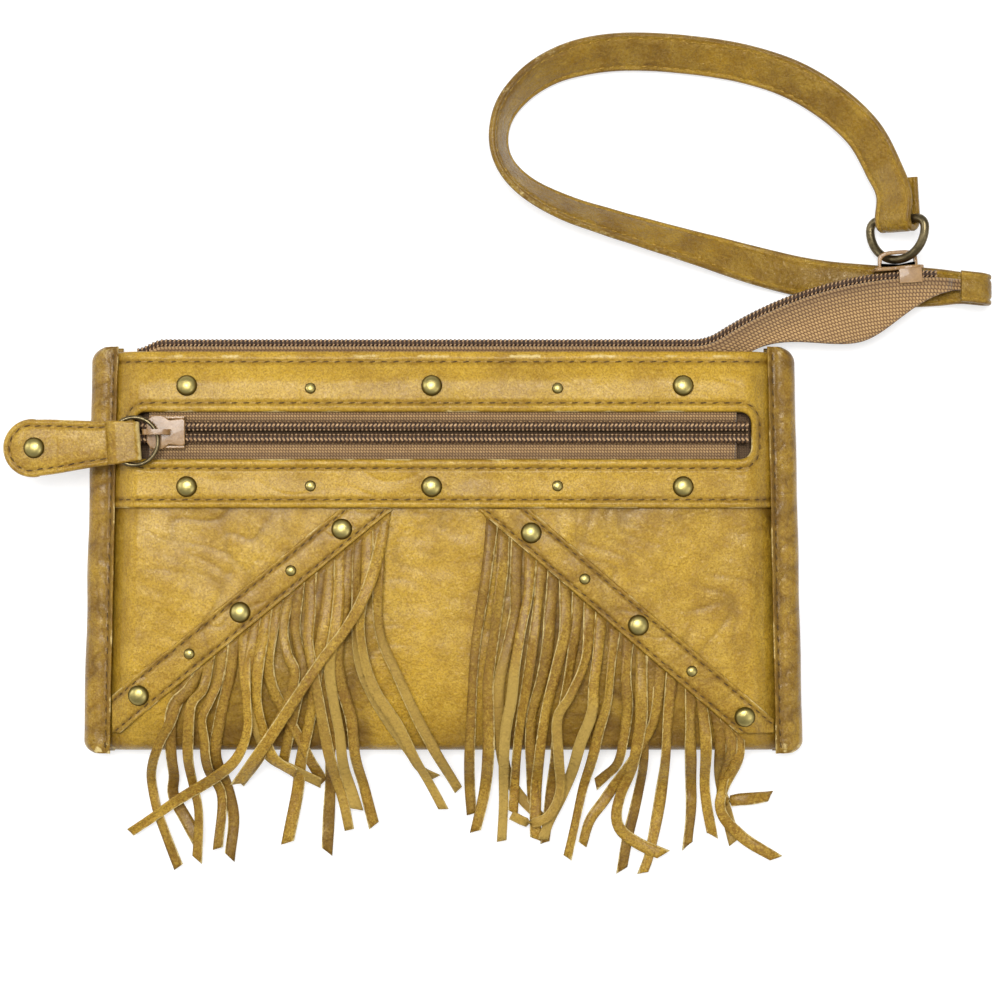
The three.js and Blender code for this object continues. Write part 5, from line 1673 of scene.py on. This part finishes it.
class POUCH_OT_sliders(bpy.types.Operator):
    """Enamelled sliders of both zips, the split ring and the D-ring"""

    bl_idname = "pouch.sliders"
    bl_label = "Sliders and rings"

    def execute(self, context):
        axes = np.eye(3)
        plate_z = POCKET_TAPE_Z + 2 * CLEARANCE + 1.4

        def on_pocket(part, y, z):
            return placed(part, (-72.1, POCKET_ZIP_Y + y, z), *axes)

        under = plate("low_plate", slider_outline(10, 7.4, 6), 0.8)
        pieces = [
            on_pocket(plate("top_plate", slider_outline(10, 8.8, 7.2), 1.05), 0, plate_z),
            on_pocket(under, 0, POCKET_TAPE_Z - TAPE - CLEARANCE - 0.8),
        ]
        outer, inner = arch_outline(7.2, 3.3, 0.8)
        bail = plate("bail", outer, 1.4, 0.22, [inner])
        pieces.append(placed(bail, (-74.4, POCKET_ZIP_Y + 0.7, plate_z + 0.95), axes[0], axes[2], -axes[1]))
        for side in (-1, 1):
            wall = plate("wall", box_outline(-1, 4.8, -0.35, 0.35), 2.0, 0.15)
            pieces.append(on_pocket(wall, side * 3.85, POCKET_TAPE_Z + 0.4))
        slider = join_pieces("pocket_slider_body", pieces)
        finish_piece(slider, "pocket_slider", "slider_enamel", "pocket_slider")
        angles = np.linspace(0, 2 * math.pi, 72, endpoint=False)[:, None]
        circle = PULL_RING_RADIUS * (axes[0] * np.cos(angles) + axes[1] * np.sin(angles))
        ring_middle = np.array([PULL_PIN_X - PULL_RING_RADIUS, PULL_RING_Y, PULL_PIN_Z])
        ring = wire_ring("pull_ring_wire", ring_middle + circle, PULL_RING_WIRE)
        finish_piece(ring, "pull_tab", "dark_brass", "pull_ring")
        distance = distance_at_tail(MAIN_SLIDER_X)
        centre = beside_zip(distance, 0, 0)
        turn = zip_line(distance)[2]
        along = np.array([math.cos(turn), math.sin(turn), 0])
        out = np.array([-math.sin(turn), math.cos(turn), 0])
        up = axes[2]
        foot = COIL_DEPTH / 2 + CLEARANCE
        top = plate("main_top", slider_outline(12.8, 8.8, 7), 1.0)
        pieces = [placed(top, centre + out * foot, -along, up, out)]
        outer, inner = arch_outline(10.4, 4.4, 0.95)
        bail = plate("main_bail", outer, 1.5, 0.25, [inner])
        pieces.append(placed(bail, centre + out * (foot + 0.95) - up * 0.75, along, out, up))
        for side in (-1, 1):
            wall = plate("wall", box_outline(-0.5, 5.5, -2.4, foot + 0.3), 0.8, 0.2)
            pieces.append(placed(wall, centre + up * (side * 4.15 - 0.4), along, out, up))
        low = plate("low", box_outline(-5.6, 5.6, -2.4, -1.5), 2.2, 0.2)
        pieces.append(placed(low, centre - up * 1.1, along, out, up))
        slider = join_pieces("main_slider_body", pieces)
        finish_piece(slider, "main_slider", "slider_enamel", "main_slider")
        finish_piece(wire_ring("d_ring_wire", d_ring_points(), RING_WIRE), "d_ring", "dark_brass", "d_ring")
        return {"FINISHED"}


# Pull tab

TAB_START = 1.6 - TAB_LENGTH
TAB_ROUND_X = TAB_START + TAB_END_RADIUS


def tab_half_width(x):
    round_end = np.sqrt(np.maximum(TAB_END_RADIUS ** 2 - (x - TAB_ROUND_X) ** 2, 0))
    taper = mix(TAB_END_RADIUS - 0.25, TAB_NECK_HALF, smooth((x - TAB_ROUND_X) / (-5.9 - TAB_ROUND_X)))
    neck = mix(TAB_NECK_HALF, TAB_FOLD_HALF, np.clip((x + 5.9) / 7.5, 0, 1))
    straight = np.where(x < -5.9, taper, neck)
    return np.where(x < TAB_ROUND_X + 1.2, np.minimum(round_end, TAB_END_RADIUS), straight)


def turned_tab(points):
    """From the tab's own lines, which start at the split ring's middle, to the pouch's."""
    x, y, z = np.moveaxis(np.asarray(points, float), -1, 0)
    cos, sin = math.cos(TAB_TURN), math.sin(TAB_TURN)
    turned_x = PULL_PIN_X - PULL_RING_RADIUS + x * cos - y * sin
    return np.stack([turned_x, PULL_RING_Y + x * sin + y * cos, z + PULL_PIN_Z], axis=-1)


def tab_body():
    """The tab's flat leather, with its seam and rolled rim."""
    x = (TAB_START + 0.03 + (-6.9 - TAB_START) * np.linspace(0, 1, 110) ** 1.4)[:, None]
    half = tab_half_width(x)
    y = crowded(41)[None, :] * half
    round_end = TAB_END_RADIUS - np.hypot(x - TAB_ROUND_X, y)
    inside = np.clip(np.where(x < TAB_ROUND_X, round_end, half - np.abs(y)), 0, 20)
    seam = furrow(inside - TAB_SEAM, 0.42) * smooth((-4.5 - x) / 0.5)
    rim = rim_drop(inside, 0.9)
    z = TAB_THICKNESS / 2 - 0.3 * seam + 0.16 * smooth((inside - TAB_SEAM) / 3) - rim
    z = z + 0.06 * lumps(x, y, 6, 201) + 0.06 * creases(x, y, 9, 203)
    low = -TAB_THICKNESS / 2 + 0.25 * seam + rim
    upper, lower = (turned_tab(np.dstack([x + 0 * y, y, height])) for height in (z, low))
    wear = 0.62 * np.exp(-inside / 0.8) * patchy(x, y, 8, 205)
    shade = np.clip(0.45 * seam + 0.35 * smooth((x + 9) / 3), 0, 0.8)
    return sheet_piece("tab_body", upper, lower, "trim", {"wear": wear, "shade": shade})


def tab_fold():
    """The tab's end, folded round the split ring."""
    leg = [(-7.6, 1.22), (-5, 1.26), (-2.4, 1.25), (-0.6, 1.22)]
    bend = [(-0.6 + 1.2 * math.sin(a), 1.22 * math.cos(a)) for a in np.linspace(0.2, math.pi - 0.2, 14)]
    path = np.array(leg + bend + [(x, -z) for x, z in leg[::-1]])
    path[:, 0] += 0.65
    along = unit(np.gradient(path, axis=0))
    normal = np.column_stack([-along[:, 1], along[:, 0]])
    width = tab_half_width(path[:, 0:1]) * crowded(25)[None, :] * 0.995

    def layer(offset):
        rows = path + normal * offset
        drop = rim_drop(np.abs(width[:, -1:]) - np.abs(width), 0.3) * np.sign(offset)
        x, z = (rows[:, k:k + 1] - normal[:, k:k + 1] * drop for k in (0, 1))
        return turned_tab(np.dstack([x, width, z]))

    marks = {"wear": np.exp(-((path[:, 0:1] - 1.2) / 0.8) ** 2) * 0.7, "shade": 0.15}
    return sheet_piece("tab_fold", layer(0.36), layer(-0.34), "trim", marks)


def tab_seam():
    """The stitch line along the tab's long sides and round its end."""
    side = [(x, float(tab_half_width(x)) - TAB_SEAM) for x in np.linspace(-5.2, TAB_ROUND_X, 50)]
    radius = TAB_END_RADIUS - TAB_SEAM
    angles = np.linspace(0, math.pi, 30)[1:-1]
    arc = [(TAB_ROUND_X - radius * math.sin(a), radius * math.cos(a)) for a in angles]
    lower_side = [(x, -y) for x, y in side[::-1]]
    line = np.array(side[:-3] + arc + lower_side[3:] + side[:1])
    return turned_tab(np.column_stack([line, np.full(len(line), TAB_THICKNESS / 2 - 0.2)]))


class POUCH_OT_pull_tab(bpy.types.Operator):
    """Sewn leather tab on the pocket's zip, folded round its ring, with a stud"""

    bl_idname = "pouch.pull_tab"
    bl_label = "Pull tab"

    def execute(self, context):
        tab = join_pieces("tab_leather", [tab_body(), tab_fold()])
        finish_piece(tab, "pull_tab", "trim_leather", "pull_tab")
        stitches = sewn("tab_stitches", [tab_seam()], "thread", 1.7, 0.42, 0.0027)
        finish_piece(stitches, "pull_tab", "trim_leather")
        rivet = turned_stud("tab_stud", *STUD_LARGE, 24)
        foot = turned_tab([TAB_ROUND_X + 0.6, 0, TAB_THICKNESS / 2 + 0.1])
        for vertex in rivet.data.vertices:
            vertex.co += Vector(foot) * MM
        finish_piece(rivet, "pull_tab", "stud_brass", "pull_tab_rivet")
        return {"FINISHED"}


# Wrist strap: each stop gives a place and how far the strap leans, in degrees

STRAP_STOPS = [
    (118.6, 95.5, 38), (110.6, 110.6, 35), (96.2, 122.4, 32), (79.2, 128.7, 30), (57, 131.6, 30),
    (40.5, 131, 34), (27.6, 126.8, 48), (18.6, 119.4, 60), (14.8, 110.9, 68), (16, 102.6, 66),
    (22, 95.7, 58), (32.4, 90.2, 50), (46.5, 85.6, 44), (67.4, 79.5, 32), (86, 74.3, 10),
    (100, 71.4, 0), (116, 69.9, 0),
]
# Where the strap is cut into its three pieces: above the ring, and at the top of its loop
FOLD_END = (111.9, 109.6)
TOP_END = (41, 131)
# Rubbed spots: a place and how far each reaches
RUBBED_SPOTS = (((17.2, 105.5, 11), 3.2), ((16.6, 108.6, 12), 2.0), ((56.5, 136.6, 3), 1.6))


def strap_stations():
    """Middle line, across direction and width share of the strap, from its ring to the tail's end."""
    stations = []
    lower = -1 if RING_NORMAL[2] > 0 else 1
    fold_radius = RING_WIRE + CLEARANCE + STRAP_THICKNESS / 2
    leg_gap = (STRAP_THICKNESS + CLEARANCE) / 2 + 0.1
    wrap = 2.5

    def add(middle, across, width):
        stations.append(np.concatenate([middle, across, [width]]))

    def by_ring(up, off):
        add(RING_BAR + RING_UP * up + RING_NORMAL * off, RING_ACROSS, 1.0)

    def by_tail(x, z, width):
        add((x, beside_zip(distance_at_tail(x), -2.8, 0)[1], z), (0, -1, 0), width)

    by_ring(11, lower * leg_gap)
    by_ring(6.5, lower * (leg_gap + 0.4))
    for angle in np.linspace(0, math.pi, 9):
        by_ring(-fold_radius * math.sin(angle), lower * fold_radius * math.cos(angle))
    by_ring(6.5, -lower * (leg_gap + 0.5))
    flat = smooth_path(STRAP_STOPS, 89)
    steps = len(flat) - 1
    for i in range(2, steps + 1):
        x, y, lean = flat[i]
        ahead = unit(flat[min(i + 1, steps), :2] - flat[i - 1, :2])
        cos, sin = math.cos(math.radians(lean)), math.sin(math.radians(lean))
        resting = STRAP_WIDTH / 2 * sin + STRAP_THICKNESS / 2 * cos + 0.15
        add((x, y, resting + 2.9 * (1 - smooth(i / 18))), (ahead[1] * cos, -ahead[0] * cos, sin), 1.0)
    for stop in ((122, 1.15, 1), (127, 1.3, 1), (132.6, 2.2, 0.92), (135.6, 3.9, 0.84)):
        by_tail(*stop)
    by_tail(138, MAIN_ZIP_Z - wrap, 0.8)
    for angle in np.linspace(0, math.pi, 7):
        by_tail(TAIL_END + 0.4 + wrap * math.sin(angle), MAIN_ZIP_Z - wrap * math.cos(angle), 0.78)
    by_tail(135.8, MAIN_ZIP_Z + wrap, 0.78)
    return np.array(stations)


def fine_stations():
    """The stations joined by a smooth line and set evenly along it."""
    rows = strap_stations()
    ends = with_ends(rows)
    fine = []
    for i in range(1, len(ends) - 2):
        a, b, c, d = ends[i - 1:i + 3]
        gap = np.linalg.norm(c[:3] - b[:3])
        before = (c - a) * gap / max(np.linalg.norm(c[:3] - a[:3]), 1e-6)
        after = (d - b) * gap / max(np.linalg.norm(d[:3] - b[:3]), 1e-6)
        for t in np.linspace(0, 1, max(2, int(gap / 0.25)), endpoint=False):
            shape = b * (2 * t ** 3 - 3 * t ** 2 + 1) + c * (-2 * t ** 3 + 3 * t ** 2)
            fine.append(shape + before * (t ** 3 - 2 * t ** 2 + t) + after * (t ** 3 - t ** 2))
    even, distance = resampled(np.array([*fine, rows[-1]]), 3, pitch=0.9)
    return even[:, :3], unit(even[:, 3:6]), even[:, 6], distance


def strap_section(width_share):
    """Offsets across and out of the strap round its section, with its two sewn furrows."""
    half = STRAP_WIDTH / 2 * width_share
    edges = np.array([0.2, 0.45, 0.62, 0.7, 0.76, 0.82, 0.9, 0.97, 1])
    offset = np.concatenate([-edges[::-1], [0], edges]) * half
    edge = half - np.abs(offset)
    rim = rim_drop(edge, 0.85)
    seam = furrow(edge - STRAP_SEAM, 0.42)
    high = STRAP_THICKNESS / 2 - rim - 0.38 * seam
    high = high + 0.12 * smooth((edge - 1.6) / 2) - 0.1 * smooth((edge - 3.2) / 2)
    low = -STRAP_THICKNESS / 2 + rim + 0.3 * seam
    return np.concatenate([offset, offset[-2:0:-1]]), np.concatenate([high, low[-2:0:-1]])


class POUCH_OT_wrist_strap(bpy.types.Operator):
    """Sewn wrist strap from the D-ring round its loop to the zip's tail"""

    bl_idname = "pouch.wrist_strap"
    bl_label = "Wrist strap"

    def execute(self, context):
        middle, across, width, distance = fine_stations()
        normal = unit(np.cross(unit(np.gradient(middle, axis=0)), across))
        count = len(middle)
        rings = []
        for i in range(count):
            offsets, heights = strap_section(width[i])
            waved = heights + 0.07 * lumps(distance[i] + 0 * offsets, offsets, 7, 301)
            rings.append(middle[i] + np.outer(offsets, across[i]) + np.outer(waved, normal[i]))
        rings = np.array(rings)
        edge = STRAP_WIDTH / 2 - np.abs(offsets)[None, :]
        shade = np.clip(0.85 * furrow(edge - STRAP_SEAM, 0.5) + 0.6 * smooth((edge - 1.9) / 0.7), 0, 0.95)
        # Painted shade darkens the sewn furrows and the strap's middle; the paler rolled edges are partly
        # rubbed wear and partly a painted highlight.
        rolled = (0.3 + 0.4 * smooth((1.6 - edge) / 1.2)) * smooth((2.2 - edge) / 0.6)
        wear = rolled * patchy(distance[:, None], offsets[None, :], 14, 303)
        for spot, reach in RUBBED_SPOTS:
            away = np.linalg.norm(rings - np.array(spot), axis=2)
            wear = np.maximum(wear, 1.25 * np.exp(-((away / reach) ** 2)))

        def nearest(place, searched):
            return int(np.argmin(np.linalg.norm(middle[:searched, :2] - np.array(place), axis=1)))

        fold_end = nearest(FOLD_END, count // 2)
        top_end = nearest(TOP_END, count * 2 // 3)
        ring_start = RING_BAR + RING_UP * 4
        lengths = (
            ("fold", 0, fold_end + 1, ("d_ring", "main_slider"), ring_start, middle[fold_end]),
            ("top", fold_end, top_end + 1, ("main_slider", "bag"), middle[fold_end], middle[top_end]),
            ("return", top_end, count, None, None, None),
        )
        for name, begin, finish, bodies, start, stop in lengths:
            marks = {"shade": shade, "wear": np.clip(wear[begin:finish], 0, 1.2)}
            piece = tube_piece(f"strap_{name}", rings[begin:finish], "strap", marks=marks)
            paths = []
            for side in (-1, 1):
                for face in (-1, 1):
                    row = middle + across * (side * (STRAP_WIDTH / 2 - STRAP_SEAM) * width[:, None])
                    row = row + normal * (face * (STRAP_THICKNESS / 2 - 0.22))
                    paths.append(row[begin:finish][1:-1])
            stitches = sewn(f"strap_{name}_stitches", paths, "pale_thread", 1.5, 0.36, 0.0028)
            for each in (piece, stitches):
                if bodies:
                    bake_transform(each)
                else:
                    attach(each, "bag")
            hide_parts("wrist_strap")
        return {"FINISHED"}


class POUCH_OT_linings(bpy.types.Operator):
    """Woven cloth on the linings that the CAD model holds"""

    bl_idname = "pouch.linings"
    bl_label = "Linings"

    def execute(self, context):
        for name in ("main_lining", "pocket_lining"):
            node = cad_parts[name]
            if not node.material_slots:
                raise RuntimeError(f"{name} has no material slot")
            for slot in node.material_slots:
                slot.material = own_material("lining")
        return {"FINISHED"}


# Floor, light and camera

def shadow_floor_material():
    """A floor that shows white to the camera and to glossy rays, and keeps the pouch's shadow."""
    material = bpy.data.materials.new("pale_floor")
    material.use_nodes = True
    tree = material.node_tree
    tree.nodes.clear()
    plain = add_node(tree, "ShaderNodeBsdfDiffuse", {"Color": (0.82, 0.82, 0.82, 1)})
    lit = add_node(tree, "ShaderNodeBsdfDiffuse", {"Color": (0.5, 0.5, 0.5, 1)})
    glow = add_node(tree, "ShaderNodeEmission", {"Color": (1, 1, 1, 1), "Strength": 0.62})
    both = add_node(tree, "ShaderNodeAddShader", {0: lit.outputs[0], 1: glow.outputs[0]})
    ray = tree.nodes.new("ShaderNodeLightPath").outputs
    seen = calc("MAXIMUM", ray["Is Camera Ray"], ray["Is Glossy Ray"])
    chosen = add_node(tree, "ShaderNodeMixShader", {0: seen, 1: plain.outputs[0], 2: both.outputs[0]})
    add_node(tree, "ShaderNodeOutputMaterial", {"Surface": chosen.outputs[0]})
    return material


def area_light(name, place, aim, size, power):
    light = bpy.data.lights.new(name, "AREA")
    light.shape = "RECTANGLE"
    light.size, light.size_y = size
    light.energy = power
    lamp = new_object(name, light)
    lamp.location = place
    lamp.rotation_euler = (Vector(aim) - Vector(place)).to_track_quat("-Z", "Y").to_euler()


class POUCH_OT_stage(bpy.types.Operator):
    """White floor, soft overhead light and the camera above the pouch"""

    bl_idname = "pouch.stage"
    bl_label = "Stage"

    def execute(self, context):
        scene = context.scene
        mesh = bpy.data.meshes.new("floor")
        mesh.from_pydata([(x, y, -0.0003) for x, y in box_outline(-3, 3, -3, 3)], [], [(0, 1, 2, 3)])
        mesh.materials.append(shadow_floor_material())
        new_object("floor", mesh)
        area_light("overhead_light", (-0.1, 0.3, 1.4), (0.02, 0.02, 0), (0.75, 0.5), 18)
        area_light("side_light", (0.9, -0.5, 0.9), (0.02, 0, 0), (0.7, 0.7), 3.2)
        area_light("low_light", (-0.9, 0.2, 0.5), (-0.05, 0, 0), (0.5, 0.5), 2.2)
        world = bpy.data.worlds.new("studio")
        scene.world = world
        world.use_nodes = True
        tree = world.node_tree
        seen = tree.nodes.new("ShaderNodeLightPath").outputs["Is Camera Ray"]
        strength = ramp_value(calc("MAXIMUM", seen), 0.0, 1.0, 0.3, 1.0)
        set_inputs(tree.nodes["Background"], {"Color": (1, 1, 1, 1), "Strength": strength})
        scene.view_settings.view_transform = "Standard"
        camera = new_object("camera", bpy.data.cameras.new("camera"))
        camera.location = (0.01505, 0.0127, 0.663)
        camera.data.sensor_width = 36
        seen_at_floor_mm = 261.8
        camera.data.lens = 36 * 650 / seen_at_floor_mm
        camera.data.clip_start = 0.01
        scene.camera = camera
        return {"FINISHED"}


# Add-on

def colour_property(name, description, *colour):
    start = linear(*colour)[:3]
    return bpy.props.FloatVectorProperty(
        name=name, description=description, subtype="COLOR", size=3, min=0, max=1, default=start
    )


def length_property(name, description, default, lowest):
    return bpy.props.FloatProperty(
        name=name, description=description, default=default, min=lowest, unit="LENGTH"
    )


class PouchSizes(bpy.types.PropertyGroup):
    stitch_pitch: length_property("Stitch pitch", "From one stitch to the next", 0.00305, 0.001)
    coil_pitch: length_property("Coil pitch", "From one turn of a zip's coil to the next", 0.0011, 0.0008)


class PouchColours(bpy.types.PropertyGroup):
    leather: colour_property("Leather", "Front and back leather", 194, 153, 40)
    leather_pale: colour_property("Pale dapples", "Lighter dapples of all the leather", 212, 174, 66)
    leather_dark: colour_property("Dark dapples", "Darker clouds of the leather", 124, 86, 18)
    trim: colour_property("Trim", "Bindings, bands and tab", 178, 138, 42)
    fringe: colour_property("Fringe", "Outer face of the strands", 178, 136, 44)
    strap: colour_property("Strap", "Wrist strap", 178, 138, 34)
    strap_dark: colour_property("Strap clouds", "Darker clouds of the strap", 116, 82, 12)
    tape: colour_property("Tape", "Woven zip tape", 146, 110, 68)
    # Colour of the tape's raised threads, with a painted highlight on them.
    lit_tape_thread: colour_property("Tape threads", "Raised threads of the tape", 204, 166, 112)
    coil: colour_property("Coil", "Nylon coils", 106, 78, 50)
    thread: colour_property("Thread", "Sewing thread of the leather", 72, 50, 14)
    brass: colour_property("Brass", "Studs", 196, 180, 112)
    enamel: colour_property("Enamel", "Sliders", 154, 118, 70)


class POUCH_PT_parts(bpy.types.Panel):
    """Lists the parts of the pouch and the sizes and colours they use"""

    bl_idname = "POUCH_PT_parts"
    bl_label = "Fringed pouch"
    bl_space_type = "VIEW_3D"
    bl_region_type = "UI"
    bl_category = "Pouch"

    def draw(self, context):
        for group in (context.scene.pouch_sizes, context.scene.pouch_colours):
            column = self.layout.column()
            for name in group.__annotations__:
                column.prop(group, name)
        for operator in OPERATORS:
            self.layout.operator(operator.bl_idname)


OPERATORS = (
    POUCH_OT_stage,
    POUCH_OT_linings,
    POUCH_OT_body,
    POUCH_OT_frame_panel,
    POUCH_OT_bindings,
    POUCH_OT_trim_bands,
    POUCH_OT_fringe,
    POUCH_OT_studs,
    POUCH_OT_pocket_zip,
    POUCH_OT_main_zip,
    POUCH_OT_sliders,
    POUCH_OT_pull_tab,
    POUCH_OT_wrist_strap,
)
CLASSES = (PouchSizes, PouchColours, *OPERATORS, POUCH_PT_parts)


def register():
    for each in CLASSES:
        bpy.utils.register_class(each)
    bpy.types.Scene.pouch_sizes = bpy.props.PointerProperty(type=PouchSizes)
    bpy.types.Scene.pouch_colours = bpy.props.PointerProperty(type=PouchColours)


def unregister():
    del bpy.types.Scene.pouch_colours
    del bpy.types.Scene.pouch_sizes
    for each in reversed(CLASSES):
        bpy.utils.unregister_class(each)


def main():
    register()
    for operator in OPERATORS:
        name = operator.bl_idname.split(".")[1]
        getattr(bpy.ops.pouch, name)()


if __name__ == "__main__":
    main()
